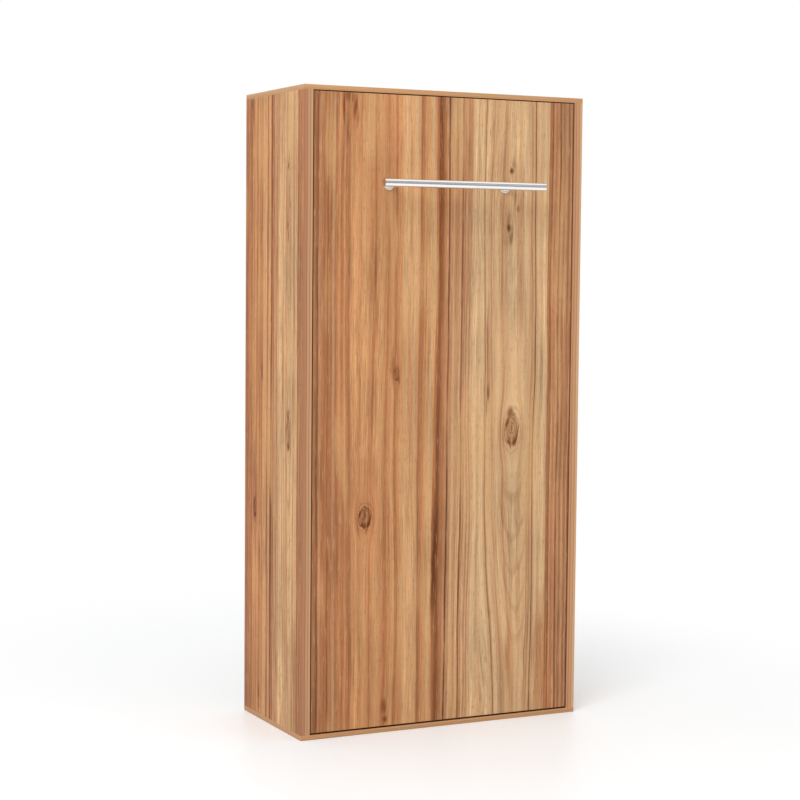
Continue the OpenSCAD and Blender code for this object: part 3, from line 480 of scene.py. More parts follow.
def decor_group(paints):
    """The printed decor: bands, drifting grain, knots, stains, fibres and pores."""
    made, t, (plane, fineness), out = new_group(
        "Wood decor", {"Plane": "Vector", "Fineness": "Float"},
        {"Colour": "Color", "Relief": "Float"},
    )
    across, up = t.split(plane)[:2]
    drift = t.noise(plane, (2.6, 0.9, 0), 1.0) - 0.5
    sway = t.noise(plane, (11.0, 2.2, 0)) - 0.5
    jitter = t.noise(plane, (60.0, 3.0, 0)) - 0.5
    sway = sway * (t.band(across, 0.50, 0.64) * 0.005 + 0.008)
    # The pale part leans over towards its foot
    lean = t.band(up, 0.0, 0.85, -0.05, 0.0) * t.band(across, 0.62, 0.72)
    lean = lean * t.band(across, 0.76, 0.84, 1.0, 0.0)
    plane = plane + t.join(drift * 0.024 + jitter * 0.0025 + sway + lean, 0.0)
    knot = knot_group()
    dark = 0.0
    for x, z, wide, tall, parting, depth in DECOR_KNOTS:
        plane, dark = t.use(
            knot, plane=plane, centre=in_metres(x, z), spread=in_metres(wide, tall, 1),
            parting=parting, depth=depth, dark_before=dark,
        )
    wood = painted_bands(t, plane, paints)
    # Stains and spots with ragged edges
    ragged = t.noise(plane, (34.0, 5.0, 0), 3.0, output="Color") - (0.5, 0.5, 0.5)
    blurred = plane + ragged * (0.03, 0.16, 0)
    for *spot, name in DECOR_STAINS:
        wood = t.mix(patch(t, blurred, spot, 0.25, 1.25), wood, paints[name])
    sharp = plane + ragged * (0.009, 0.03, 0)
    for spot in DECOR_SPOTS:
        dark = t.most(dark, patch(t, sharp, spot, 0.2, 1.3))
    lines = arched_lines(t, plane)
    # Growth lines, stronger in the brown parts, and in some stretches of the board than others
    plane = plane * t.join(fineness, 1.0)
    lively = t.band(t.noise(plane, (9.0, 1.3, 2.0)), 0.38, 0.62, 0.45, 1.15)
    grey = t.add("ShaderNodeRGBToBW", wood)
    growth = t.band(t.noise(plane, (170.0, 0.9, 0), 3.0, 0.65), 0.56, 0.64)
    growth = growth * (t.band(grey, 0.16, 0.36, 1.0, 0.2) * lively) * 0.6
    hairs = t.band(t.noise(plane, (430.0, 2.4, 0)), 0.57, 0.66)
    hairs = hairs * (lively * t.band(grey, 0.2, 0.42, 0.48, 0.24))
    # Wide and fine streaks of light and shade, patches along the board, and painted shade near its
    # foot
    wide = t.noise(plane, (48.0, 1.1, 0))
    short = t.noise(plane, (165.0, 2.8, 0), 3.0)
    fine = t.noise(plane, (320.0, 7.5, 0), 4.0, 0.7)
    cloud = t.noise(plane, (9.0, 2.2, 0), 3.0)
    streaks = (fine * 1.45 + short * 0.75 - 1.10) * lively
    # Painted shade: the decor is a little darker towards the bottom of the board, fading out 0.45
    # m up
    shade_near_floor = t.band(up, 0.0, 0.45, 0.37, 0.42)
    wood = t.shade(wood, wide * 0.36 + cloud * 0.80 + streaks + shade_near_floor)
    warm = t.noise(plane, (24.0, 1.3, 3.0), 1.0)
    wood = t.mix(t.band(warm, 0.5, 0.72, 0.0, 0.38), wood, paints["rust"])
    bright = t.noise(plane, (15.0, 1.6, 9.0))
    wood = t.mix(t.band(bright, 0.52, 0.7, 0.0, 0.5), wood, paints["glow"])
    wood = t.mix(t.most(growth, hairs, lines), wood, paints["chestnut"])
    wood = t.mix(dark, wood, KNOT_TINT, "MULTIPLY")
    # Pores as short dark dashes, and bright dashes between them
    pores = t.band(t.noise(plane, (1300.0, 60.0, 0)), 0.6, 0.72)
    dashes = t.band(t.noise(plane, (400.0, 30.0, 0)), 0.6, 0.7)
    glints = t.band(t.noise(plane, (360.0, 13.0, 5.0)), 0.58, 0.68)
    wood = t.mix(glints * 0.34, wood, paints["pale"])
    wood = t.mix(dashes * 0.42, wood, paints["chestnut"])
    wood = t.mix(pores * 0.30, wood, paints["chestnut"])
    t.put(out["Colour"], wood)
    t.put(out["Relief"], fine * 0.6 - pores)
    return made


def raw_chipboard(t, where):
    """Chips of a cut board, as a colour."""
    named = {"Vector": where * (260.0, 260.0, 260.0), "Scale": 1.0}
    chips = t.add("ShaderNodeTexVoronoi", output="Color", named=named)
    stops = tones((0.0, 150, 112, 72), (0.5, 196, 158, 112), (1.0, 222, 190, 146))
    return t.ramp(t.split(chips)[0], stops)


def paint_decor(t, where, group, look, lay):
    """Board covered with the decor; lay says how it lies on the board."""
    plane, raw, fineness, depth = lay(t, *t.split(where))
    printed, relief = t.use(group, plane=plane, fineness=fineness)
    # Painted shade: a depth above 1 gives a deeper, more orange copy of the decor, used on the
    # sides
    deepened_for_side_light = t.add("ShaderNodeGamma", printed, depth)
    lift = 1 + (depth - 1) * 0.75
    shown = t.mix(1.0, deepened_for_side_light, (lift, lift, lift), "MULTIPLY")
    return {
        "base": t.mix(raw, shown, raw_chipboard(t, where)),
        "rough": t.noise(where, 9.0, 4.0) * 0.14 + (look.roughness - 0.07),
        "gloss": 0.1,
        "normal": t.bump(relief, 0.00025, 0.5),
    }


# Each lay gives the decor's plane, where the board is raw, how fine the fibres are
# and how deep the colour is; the deeper colour of the sides is painted shade, for how light falls
# on them

RAW_FROM = CABINET_HIGH.y - 0.0004
# The decor on a side starts this far in from its right edge and is squeezed this much
SIDE_SHIFT, SIDE_SQUEEZE = 0.041, 1.92
ACROSS_STRETCH, ACROSS_START, ACROSS_UP = 1.4, 0.42, 1.1


def lay_front(t, x, y, z):
    return t.join(x + DECOR_WIDTH / 2, z), 0.0, 1.0, 1.0


def lay_side(t, x, y, z):
    """The same decor, narrower, from the front edge back; the rear cut is raw board. Its colour is
    painted deeper than the front's, as painted shade on the side.
    """
    back = y - CABINET_LOW.y
    across = (DECOR_WIDTH - SIDE_SHIFT) - back * SIDE_SQUEEZE
    return t.join(across, z), y > RAW_FROM, 0.3, 1.09


def lay_across(t, x, y, z):
    """The decor running along the board's length, for top and bottom."""
    plane = t.join(y * ACROSS_STRETCH + ACROSS_START, x + ACROSS_UP)
    return plane, y > RAW_FROM, 0.8, 1.0


# Stripes over a side's edge band, from its outer to its inner edge
LEFT_STRIPES = tones(
    (0.0, 164, 112, 78), (0.30, 178, 126, 90), (0.38, 150, 100, 68), (0.44, 190, 138, 100),
    (0.62, 196, 145, 106), (0.68, 164, 114, 80), (0.76, 188, 148, 108), (1.0, 194, 155, 114),
)
RIGHT_STRIPES = tones(
    (0.0, 208, 164, 124), (0.22, 212, 168, 126), (0.3, 178, 128, 88), (0.42, 196, 144, 102),
    (0.62, 200, 148, 108), (0.72, 170, 118, 80), (0.82, 196, 146, 106), (1.0, 184, 132, 92),
)


def paint_side_band(t, where):
    """Edge band of the side panels, in upright stripes."""
    x = t.split(where)[0]
    sway = (t.noise(where, (20, 20, 1.4)) - 0.5) * 0.30
    inward = (CABINET_HIGH.x - abs(x)) / (2 * BOARD) + sway
    wood = t.mix(x > 0.0, t.ramp(inward, LEFT_STRIPES), t.ramp(inward, RIGHT_STRIPES))
    fine = t.noise(where, (900, 900, 5.0), 3.0)
    wide = t.noise(where, (160, 160, 0.9))
    wood = t.shade(wood, fine * 0.20 + wide * 0.28 + 0.76)
    return {"base": wood, "rough": 0.48, "gloss": 0.35, "normal": t.bump(fine, 0.0001, 0.4)}


def paint_long_band(t, where, look):
    """Golden edge band of the top and bottom boards, streaked along its length, with painted
    light: lighter towards the upper edge of each band, and lighter on the top board than on the
    bottom one.
    """
    height = t.split(where)[2]
    # Height within the band, from 0 at its lower edge to 1 at its upper edge, for a painted
    # highlight towards the top
    rise = height % (CABINET_HIGH.z - BOARD) / BOARD
    streaks = t.noise(where, (3.0, 3.0, 420.0), 3.0)
    bands = t.noise(where, (0.7, 0.7, 170.0))
    light = streaks * 0.40 + bands * 0.60 + rise * 0.13
    # Painted shade: the bottom board's band is made darker than the top board's
    wood = t.shade(look.edge, light + t.band(height, 0.1, 1.0, 0.36, 0.43))
    lines = t.band(t.noise(where, (1.6, 1.6, 600.0), 1.0), 0.56, 0.70)
    wood = t.mix(lines * 0.5, wood, look.rust)
    return {"base": wood, "rough": 0.46, "gloss": 0.35, "normal": t.bump(streaks, 0.0001, 0.4)}


def paint_panel_band(t, where, look):
    """Edge band of the front panel, which shows only in its joints and when it is down; its dark
    colour is partly the band's own and partly painted shade for the joints.
    """
    streaks = t.noise(where, (500.0, 300.0, 3.0), 3.0)
    wood = t.shade(look.panel_edge, streaks * 0.5 + 0.72)
    return {"base": wood, "rough": 0.5, "normal": t.bump(streaks, 0.0001, 0.4)}


# Metal, plastic and rubber


def paint_metal(t, where, tint, rough, grain, brush=0.0):
    """Metal with a fine cloudy or brushed surface."""
    cloud = t.noise(where, grain, 3.0)
    if brush:
        normal = t.bump(t.noise(where, (brush, 14.0, 14.0)), 0.00005, 0.5)
    else:
        normal = t.bump(cloud, 0.00004, 0.5)
    return {
        "base": t.shade(tint, cloud * 0.24 + 0.88), "metal": 1.0,
        "rough": cloud * 0.18 + (rough - 0.08), "normal": normal,
    }


def paint_coat(t, where, tint, rough, speck, depth, gloss=0.5):
    """Powder coat, moulded plastic or rubber: one colour with an orange-peel or spark texture."""
    peel = t.noise(where, speck)
    return {
        "base": t.shade(tint, t.noise(where, 6.0) * 0.2 + 0.9),
        "rough": peel * 0.1 + (rough - 0.05), "gloss": gloss,
        "normal": t.bump(peel, depth, 0.6),
    }


def paint_polished(t, where, metals):
    """Polished tube with hair-fine lines round it and a trace of handling marks."""
    marks = t.noise(where, (22.0, 60.0, 60.0), 4.0)
    lines = t.noise(where, (2600.0, 30.0, 30.0))
    return {
        "base": t.shade(metals.polished, marks * 0.05 + 0.97), "metal": 1.0,
        "rough": marks * 0.08 + 0.05, "normal": t.bump(lines, 0.000008, 0.5),
    }


# Slats, back and dowels


def slat_rows():
    """First slat's height, the pitch and the half width, from the loose pieces of the node."""
    heights = sorted({round(v.co.z, 4) for v in NODES["slats"].data.vertices})
    starts = [heights[0]]
    for low, high in zip(heights, heights[1:]):
        if high - low > 0.05:
            starts.append(high)
    half = (max(h for h in heights if h < heights[0] + 0.1) - heights[0]) / 2
    return starts[0] + half, (starts[-1] - starts[0]) / (len(starts) - 1), half


SLAT_FIRST, SLAT_PITCH, SLAT_HALF = slat_rows()
# Fall of a slat's arch with the square of the distance from its middle
SLAT_FALL = 0.0617
# Pitch of a slat's plies and of the screen pattern on the back
PLY_PITCH, SCREEN_PITCH = 0.0032, math.tau / 3600


def paint_slat(t, where):
    """Laminated birch: long fibres on the faces and plies on the edges."""
    x, y, z = t.split(where)
    fibres = t.noise(where, (5.0, 60.0, 500.0), 4.0, 0.6)
    wood = t.ramp(
        fibres, tones((0.25, 196, 156, 108), (0.5, 221, 188, 142), (0.8, 234, 208, 168))
    )
    wood = t.shade(wood, t.noise(where, (2.2, 8.0, 26.0)) * 0.3 + 0.84)
    plies = t.wave(y + abs(x) ** 2.0 * SLAT_FALL, PLY_PITCH)
    row = (z - (SLAT_FIRST - SLAT_PITCH / 2)) % SLAT_PITCH
    on_edge = abs(row - SLAT_PITCH / 2) > SLAT_HALF - 0.0006
    wood = t.mix(t.band(plies, 0.0, 0.7, 0.0, 0.65) * on_edge, wood, tone(150, 104, 62))
    return {"base": wood, "rough": fibres * 0.2 + 0.38, "normal": t.bump(fibres, 0.00015, 0.5)}


def paint_hardboard(t, where):
    """Thin back: pale lacquer inside, raw brown fibre with a screen pattern outside."""
    x, y, z = t.split(where)
    fibre = t.noise(where, (700.0, 60.0, 500.0), 3.0)
    blotch = t.noise(where, (9.0, 3.0, 2.2), 6.0, 0.7)
    specks = t.noise(where, (190.0, 3.0, 130.0))
    raw = t.ramp(
        fibre * 0.22 + blotch * 0.26 + specks * 0.52,
        tones((0.38, 116, 78, 48), (0.5, 150, 106, 68), (0.62, 182, 138, 96)),
    )
    lacquer = t.ramp(
        t.noise(where, (70.0, 3.0, 1.3), 4.0, 0.6),
        tones((0.3, 206, 180, 146), (0.5, 220, 197, 166), (0.7, 231, 212, 184)),
    )
    outside = y > CABINET_HIGH.y - 0.001
    screen = t.wave(x, SCREEN_PITCH) * t.wave(z, SCREEN_PITCH)
    return {
        "base": t.mix(outside, lacquer, raw), "rough": outside * 0.3 + 0.5,
        "normal": t.bump(screen * outside, 0.0001, 0.5),
    }


def paint_plain_board(t, where, look):
    """Plain board of the rear rails, in the decor's brown with grain along it."""
    grain = t.noise(where, (2.0, 180.0, 180.0), 3.0)
    fine = t.noise(where, (14.0, 900.0, 900.0))
    wood = t.ramp(grain, [(0.3, look.brown), (0.5, look.orange), (0.75, look.tan)])
    wood = t.shade(wood, fine * 0.3 + 0.84)
    return {"base": wood, "rough": 0.52, "normal": t.bump(fine, 0.0001, 0.4)}


def paint_beech(t, where):
    """Beech dowels: short flecks along the dowel, which runs across the cabinet."""
    fleck = t.noise(where, (120.0, 900.0, 900.0), 3.0)
    wood = t.ramp(fleck, tones((0.3, 190, 140, 96), (0.7, 222, 182, 140)))
    return {"base": wood, "rough": 0.6, "normal": t.bump(fleck, 0.0002, 0.6)}


# Fabrics, with the pitch of their threads and seams in metres

KNIT_ACROSS, KNIT_UP = 0.0024, 0.0019
SPACER_DEEP, SPACER_ALONG = 0.0046, 0.0058
SEAM_RUN, SEAM_SWING, SEAM_GAP = 0.16, 0.012, 0.042
BORDER_CORNER, BORDER_TURN = 0.032, 0.0105
BORDER_SHIFT, BORDER_DOWN = 0.004, 0.022
TWILL_PITCH = 0.0021
HERRINGBONE, WEFT_PITCH, WARP_PITCH = 0.008, 0.0022, 0.0013


def paint_cover(t, where, bed):
    """Knitted mattress cover: quilted pale top, spacer fabric round the border."""
    x, y, z = t.split(where)
    centre = (MATTRESS_LOW + MATTRESS_HIGH) / 2
    half = (MATTRESS_HIGH - MATTRESS_LOW) / 2
    # The border starts on the rounded rectangle of the edge, seen from the front
    over_x = t.most(abs(x) - (half.x - BORDER_CORNER), 0.0)
    over_z = t.most(abs(z - centre.z) - (half.z - BORDER_CORNER), 0.0)
    border = t.span(t.join(over_x, over_z)) > BORDER_CORNER - BORDER_TURN
    border = t.most(border, abs(y - (centre.y - BORDER_SHIFT)) < half.y - BORDER_DOWN)
    slub = t.noise(where, (160.0, 160.0, 22.0), 3.0)
    top = t.shade(bed.cover, slub * 0.12 + 0.93)
    cells = t.wave(y, SPACER_DEEP) * t.wave(x + z, SPACER_ALONG)
    side = t.mix(t.band(cells, 0.1, 0.9, 0.0, 0.35), bed.border, tone(150, 153, 158))
    # Sewn waves round the border; the darker grey along them stands for the stitching and for
    # painted shade in the sewn crease
    run = y + t.wave(x + z, SEAM_RUN) * SEAM_SWING
    swell = abs(t.wave(run, 2 * SEAM_GAP))
    seam_and_crease_shade = t.band(swell, 0.0, 0.16, 1.0, 0.0) * border
    side = t.mix(seam_and_crease_shade * 0.4, side, tone(132, 136, 142))
    knit = t.wave(x, KNIT_ACROSS) * t.wave(z, KNIT_UP)
    plump = t.add("ShaderNodeMath", swell, operation="SQRT") * border
    height = knit * 0.35 + slub * 0.6 + cells * border * 0.9 + plump * 6.0
    return {
        "base": t.mix(border, top, side), "rough": 0.85, "sheen": 0.25, "sheen_rough": 0.5,
        "normal": t.bump(height, 0.0004, 0.7),
    }


def paint_tape(t, where, bed):
    """Twill tape: slanting ribs along the piping."""
    x, y, z = t.split(where)
    ribs = t.wave(x + z + y * 0.8, TWILL_PITCH)
    tint = t.mix(t.band(ribs, -0.2, 0.9, 0.0, 0.3), bed.tape, tone(104, 110, 120))
    return {"base": tint, "rough": 0.8, "sheen": 0.2, "normal": t.bump(ribs, 0.0002, 0.6)}


def paint_webbing(t, where, bed):
    """Woven strap: herringbone across its width and a plain selvedge."""
    x, y, z = t.split(where)
    fold = abs((z + 1000 * HERRINGBONE) % HERRINGBONE - HERRINGBONE / 2)
    ribs = t.wave(x + y + fold * 1.2, WEFT_PITCH)
    weave = ribs * 0.7 + t.wave(z, WARP_PITCH) * 0.3
    tint = t.mix(t.band(weave, -0.4, 0.9, 0.0, 0.45), bed.webbing, tone(82, 84, 90))
    return {"base": tint, "rough": 0.72, "sheen": 0.15, "normal": t.bump(weave, 0.0003, 0.7)}


# Meshes


def mesh_from(bm, name):
    mesh = bpy.data.meshes.new(name)
    bm.to_mesh(mesh)
    bm.free()
    return mesh


def new_piece(name, mesh, material, smooth=True):
    """Links a mesh as a piece at the origin."""
    piece = bpy.data.objects.new(name, mesh)
    bpy.context.scene.collection.objects.link(piece)
    mesh.materials.append(material)
    mesh.polygons.foreach_set("use_smooth", [smooth] * len(mesh.polygons))
    return piece


def mesh_as_shown(piece):
    """A piece's mesh with its modifiers, or a curve's, as a new mesh."""
    graph = bpy.context.evaluated_depsgraph_get()
    return bpy.data.meshes.new_from_object(piece.evaluated_get(graph))


def held_between(value, low, high):
    return max(low, min(high, value))


# Mattress, in metres

TUFT_COLUMNS, TUFT_ROWS = 5, 9
TUFT_BORDER = 0.009
TUFT_REACH, TUFT_HELD = 0.030, 0.014
CELLS = (56, 12, 124)
CROWN, COVER_CROWN = 0.008, 0.002
CORNER_HELD = 0.034
WAIST = 0.003
# A point this near to a face is on it, and the filled cover keeps this far inside the CAD box
FACE, PLAY = 0.0005, 0.0003
# The cover's underside starts this far over the slats
BASE_LIFT = 0.0004
# Room round the mattress for the straps, and under them before and after the cover is filled
STRAP_ROOM, STRAP_SINK, STRAP_PRESS = 0.0004, 0.0042, 0.0012
STRAP_EDGE = 0.003
QUILT_WIDE, QUILT_FROM = 0.0085, 0.016


def dome(share_out):
    return 1 - min(1.0, abs(share_out)) ** 6


def pit(near, reach):
    return math.exp(-((near / reach) ** 2))


def strap_heights():
    """Where the straps cross the mattress, as heights, and half their width."""
    heights = sorted({round(v.co.z, 4) for v in NODES["straps"].data.vertices})
    middles = [(heights[0] + heights[1]) / 2, (heights[-2] + heights[-1]) / 2]
    return middles, (heights[1] - heights[0]) / 2


class Mattress:
    """Shape of the cover before it is filled."""

    def __init__(self, bed):
        self.bed = bed
        self.half_x = MATTRESS_HIGH.x
        self.low_y = MATTRESS_LOW.y
        self.top_y = MATTRESS_HIGH.y - CROWN
        self.mid_z = (MATTRESS_LOW.z + MATTRESS_HIGH.z) / 2
        self.half_z = (MATTRESS_HIGH.z - MATTRESS_LOW.z) / 2
        self.step_x = 2 * (self.half_x - TUFT_BORDER) / TUFT_COLUMNS
        self.step_z = 2 * (self.half_z - TUFT_BORDER) / TUFT_ROWS
        self.straps, self.strap_half = strap_heights()
        self.low = Vector((-self.half_x, self.low_y, self.mid_z - self.half_z))
        self.high = Vector((self.half_x, self.top_y, self.mid_z + self.half_z))

    def tuft_distance(self, x, z):
        last_column, last_row = TUFT_COLUMNS // 2, TUFT_ROWS // 2
        column = held_between(round(x / self.step_x), -last_column, last_column)
        row = held_between(round((z - self.mid_z) / self.step_z), -last_row, last_row)
        return math.hypot(x - column * self.step_x, z - self.mid_z - row * self.step_z)

    def quilt_distance(self, x, z):
        """Distance to the nearest sewn line; the lines run slantwise from tuft to tuft."""
        a, b = x / self.step_x, (z - self.mid_z) / self.step_z
        slant = self.step_x * self.step_z / math.hypot(self.step_x, self.step_z)
        return min(abs((a + b) - round(a + b)), abs((a - b) - round(a - b))) * slant

    def under_strap(self, z):
        return any(abs(z - s) < self.strap_half + STRAP_EDGE for s in self.straps)

    def strap_line(self, x):
        """Height of the strap's underside over the cover."""
        return self.top_y + STRAP_ROOM + CROWN * dome(x / self.half_x)

    def shell(self):
        """A closed box of even cells."""
        size = Vector((2 * self.half_x, self.top_y - self.low_y, 2 * self.half_z))
        middle = Vector((0, (self.low_y + self.top_y) / 2, self.mid_z))
        bm = bmesh.new()
        bmesh.ops.create_cube(bm, size=1.0)
        bmesh.ops.scale(bm, vec=size, verts=bm.verts)
        bmesh.ops.translate(bm, vec=middle, verts=bm.verts)
        for axis, cuts in enumerate(CELLS):
            along = [e for e in bm.edges if abs((e.verts[0].co - e.verts[1].co)[axis]) > 1e-6]
            bmesh.ops.subdivide_edges(bm, edges=along, cuts=cuts, use_grid_fill=True)
        return bm

    def rounded(self, point):
        """A point of the box on the slightly smaller box with round edges."""
        small, r = self.bed.shrink, self.bed.round_off
        low = Vector(
            (-self.half_x + small, self.low_y + BASE_LIFT, self.mid_z - self.half_z + small)
        )
        high = Vector((self.half_x - small, self.top_y, self.mid_z + self.half_z - small))
        spot = Vector([
            low[i] + (point[i] - self.low[i]) / (self.high[i] - self.low[i]) * (high[i] - low[i])
            for i in range(3)
        ])
        core = Vector([held_between(spot[i], low[i] + r, high[i] - r) for i in range(3)])
        out = spot - core
        if out.length > 1e-9 and sum(abs(c) > 1e-9 for c in out) > 1:
            spot = core + out.normalized() * r
        return spot

    def place(self, point):
        """Start of a cover point, and whether it is held while the cover fills."""
        spot = self.rounded(point)
        u, v = spot.x / self.half_x, (spot.z - self.mid_z) / self.half_z
        held = point.y < self.low_y + FACE
        if point.y > self.top_y - FACE:
            near = self.tuft_distance(spot.x, spot.z)
            spot.y += COVER_CROWN * dome(u) * dome(v)
            inside = min(1.0, (1 - abs(u)) * 12) * min(1.0, (1 - abs(v)) * 24)
            spot.y -= self.bed.tuft_pit * pit(near, TUFT_REACH) * inside
            held = held or near < TUFT_HELD
            if self.under_strap(spot.z):
                spot.y = min(spot.y, self.strap_line(spot.x) - STRAP_SINK)
                held = True
            return spot, held
        # The upright corners are stiff, with a slight waist
        from_side = self.half_x - abs(point.x)
        from_end = self.half_z - abs(point.z - self.mid_z)
        held = held or (from_side < CORNER_HELD and from_end < CORNER_HELD)
        rise = (spot.y - self.low_y) / (self.top_y - self.low_y)
        waist = math.sin(math.pi * rise) ** 2 * WAIST
        if from_side < FACE:
            spot.x -= math.copysign(waist, spot.x)
            held = held or self.under_strap(spot.z)
        if from_end < FACE:
            spot.z -= math.copysign(waist, spot.z - self.mid_z)
        return spot, held


def settle(piece, pins, bed):
    """Fills the cover with cloth simulation and returns where its points end."""
    group = piece.vertex_groups.new(name="held")
    group.add(pins, 1.0, "REPLACE")
    cloth = piece.modifiers.new("Filling", "CLOTH")
    now = cloth.settings
    now.quality = 5
    now.mass = 0.3
    now.tension_stiffness = now.compression_stiffness = 12
    now.shear_stiffness = 5
    now.bending_stiffness = 0.4
    now.use_pressure = True
    now.uniform_pressure_force = bed.pressure
    now.vertex_group_mass = "held"
    now.effector_weights.gravity = 0
    cloth.collision_settings.use_collision = False
    cloth.point_cache.frame_start = 1
    cloth.point_cache.frame_end = bed.steps
    scene = bpy.context.scene
    for step in range(1, bed.steps + 1):
        scene.frame_set(step)
    seen = piece.evaluated_get(bpy.context.evaluated_depsgraph_get())
    ends = [v.co.copy() for v in seen.data.vertices]
    piece.modifiers.remove(cloth)
    piece.vertex_groups.remove(group)
    scene.frame_set(1)
    return ends


def sew(shape, mesh):
    """Presses the quilting lines into the filled cover's face."""
    for vertex in mesh.vertices:
        x, y, z = vertex.co
        if y < shape.top_y - QUILT_FROM:
            continue
        inside_x = held_between((1 - abs(x) / shape.half_x) * 14, 0.0, 1.0)
        inside_z = held_between((1 - abs(z - shape.mid_z) / shape.half_z) * 30, 0.0, 1.0)
        depth = shape.bed.quilt_pit * pit(shape.quilt_distance(x, z), QUILT_WIDE)
        vertex.co.y = y - depth * (inside_x * inside_z)


def build_mattress(shape):
    bed = shape.bed
    bm = shape.shell()
    pins = []
    bm.verts.ensure_lookup_table()
    for vertex in bm.verts:
        vertex.co, held = shape.place(vertex.co)
        if held:
            pins.append(vertex.index)
    bmesh.ops.recalc_face_normals(bm, faces=bm.faces)
    material = finish("Mattress cover", paint_cover, bed)
    piece = new_piece("mattress_cover", mesh_from(bm, "mattress_cover"), material)
    starts = [v.co.copy() for v in piece.data.vertices]
    ends = settle(piece, pins, bed)
    for vertex, start, end in zip(piece.data.vertices, starts, ends):
        moved = end - start
        if moved.length > bed.swell:
            moved.length = bed.swell
        spot = start + moved
        spot.x = held_between(spot.x, -shape.half_x + PLAY, shape.half_x - PLAY)
        spot.z = held_between(spot.z, MATTRESS_LOW.z + PLAY, MATTRESS_HIGH.z - PLAY)
        spot.y = max(shape.low_y, spot.y)
        if shape.under_strap(spot.z):
            spot.y = min(spot.y, shape.strap_line(spot.x) - STRAP_PRESS)
        vertex.co = spot
    smooth = piece.modifiers.new("Cover", "SUBSURF")
    smooth.levels = smooth.render_levels = 1
    fine = mesh_as_shown(piece)
    piece.modifiers.remove(smooth)
    piece.data = fine
    sew(shape, fine)
    fine.polygons.foreach_set("use_smooth", [True] * len(fine.polygons))
    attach(piece, "bed")
    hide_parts("mattress")


TAPE_CORNER, TAPE_INSET = 0.03, 0.0008
TAPE_OVER_BACK, TAPE_UNDER_FRONT = 0.0012, 0.0035
CORNER_STEPS = 8


def build_tapes(shape):
    """Piping at the cover's two edges: a rounded rectangle, swept as a tube."""
    r = shape.bed.tape_size / 2
    material = finish("Edge tape", paint_tape, shape.bed)
    reach_x = shape.half_x - r - TAPE_INSET - TAPE_CORNER
    reach_z = shape.half_z - r - TAPE_INSET - TAPE_CORNER
    for name, y in (
        ("mattress_tape_back", shape.low_y + r + TAPE_OVER_BACK),
        ("mattress_tape_front", shape.top_y - r - TAPE_UNDER_FRONT),
    ):
        line = []
        for sx, sz, turn in ((1, 1, 0), (-1, 1, 90), (-1, -1, 180), (1, -1, 270)):
            for k in range(CORNER_STEPS + 1):
                a = math.radians(turn + k * 90 / CORNER_STEPS)
                x = sx * reach_x + TAPE_CORNER * math.cos(a)
                line.append((x, y, shape.mid_z + sz * reach_z + TAPE_CORNER * math.sin(a)))
        curve = bpy.data.curves.new(name, "CURVE")
        curve.dimensions = "3D"
        curve.bevel_depth = r
        curve.bevel_resolution = 3
        spline = curve.splines.new("POLY")
        spline.points.add(len(line) - 1)
        for point, spot in zip(spline.points, line):
            point.co = (*spot, 1)
        spline.use_cyclic_u = True
        holder = bpy.data.objects.new(name, curve)
        bpy.context.scene.collection.objects.link(holder)
        tube = mesh_as_shown(holder)
        bpy.data.objects.remove(holder)
        bm = bmesh.new()
        bm.from_mesh(tube)
        bmesh.ops.remove_doubles(bm, verts=bm.verts, dist=1e-6)
        bmesh.ops.recalc_face_normals(bm, faces=bm.faces)
        piece = new_piece(name, mesh_from(bm, name), material)
        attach(piece, "bed")


# Straps, in metres

STRAP_THICK, TAIL_THICK, TAIL_NARROW = 0.0015, 0.0014, 0.0008
STRAP_BEND = 0.012
# The strap lies this far outside the CAD strap's inner line, and off the rail
STRAP_LIFT, RAIL_ROOM = 0.0001, 0.0001
TAIL_POINTS, TAIL_STEP, TAIL_FROM = 10, 0.013, 0.030
TAIL_LIFT, TAIL_WAVE = 0.0021, 0.0012
FLAT_POINTS = 14


def ribbon(line, low_z, high_z, thickness, rows=6):
    """A band of webbing along a line of (x, y)."""
    bm = bmesh.new()
    points = [bm.verts.new((x, y, low_z)) for x, y in line]
    for a, b in zip(points, points[1:]):
        bm.edges.new((a, b))
    grown = bmesh.ops.extrude_edge_only(bm, edges=bm.edges[:])
    moved = [g for g in grown["geom"] if isinstance(g, bmesh.types.BMVert)]
    bmesh.ops.translate(bm, vec=(0, 0, high_z - low_z), verts=moved)
    across = [e for e in bm.edges if abs(e.verts[0].co.z - e.verts[1].co.z) > 1e-6]
    bmesh.ops.subdivide_edges(bm, edges=across, cuts=rows - 1, use_grid_fill=True)
    bmesh.ops.recalc_face_normals(bm, faces=bm.faces)
    if sum(f.normal.y * f.calc_area() for f in bm.faces) < 0:
        bmesh.ops.reverse_faces(bm, faces=bm.faces)
    bmesh.ops.solidify(bm, geom=bm.faces[:], thickness=-thickness)
    return bm


def strap_path(shape):
    """From one rail over the mattress to the other, just outside the CAD strap's inner line."""
    top = shape.strap_line
    in_x = shape.half_x + STRAP_ROOM
    flat_x = in_x - STRAP_BEND
    edge = top(flat_x)
    rail_x = RAIL_HIGH.x + RAIL_ROOM + STRAP_LIFT
    side_x = in_x + STRAP_LIFT
    half = [
        (rail_x, RAIL_LOW.y + 0.012), (rail_x, RAIL_HIGH.y - 0.012), (rail_x, RAIL_HIGH.y + 0.002),
        (side_x + 0.004, RAIL_HIGH.y + 0.016), (side_x, RAIL_HIGH.y + 0.026),
        (side_x, (RAIL_HIGH.y + edge) / 2),
    ]
    reach = STRAP_BEND + STRAP_LIFT
    for k in range(CORNER_STEPS + 1):
        a = math.radians(k * 90 / CORNER_STEPS)
        half.append((flat_x + reach * math.cos(a), edge - STRAP_BEND + reach * math.sin(a)))
    for k in range(1, FLAT_POINTS + 1):
        x = flat_x * (1 - (k / FLAT_POINTS) ** 2)
        half.append((x, top(x) + STRAP_LIFT))
    return half + [(-x, y) for x, y in half[-2::-1]]


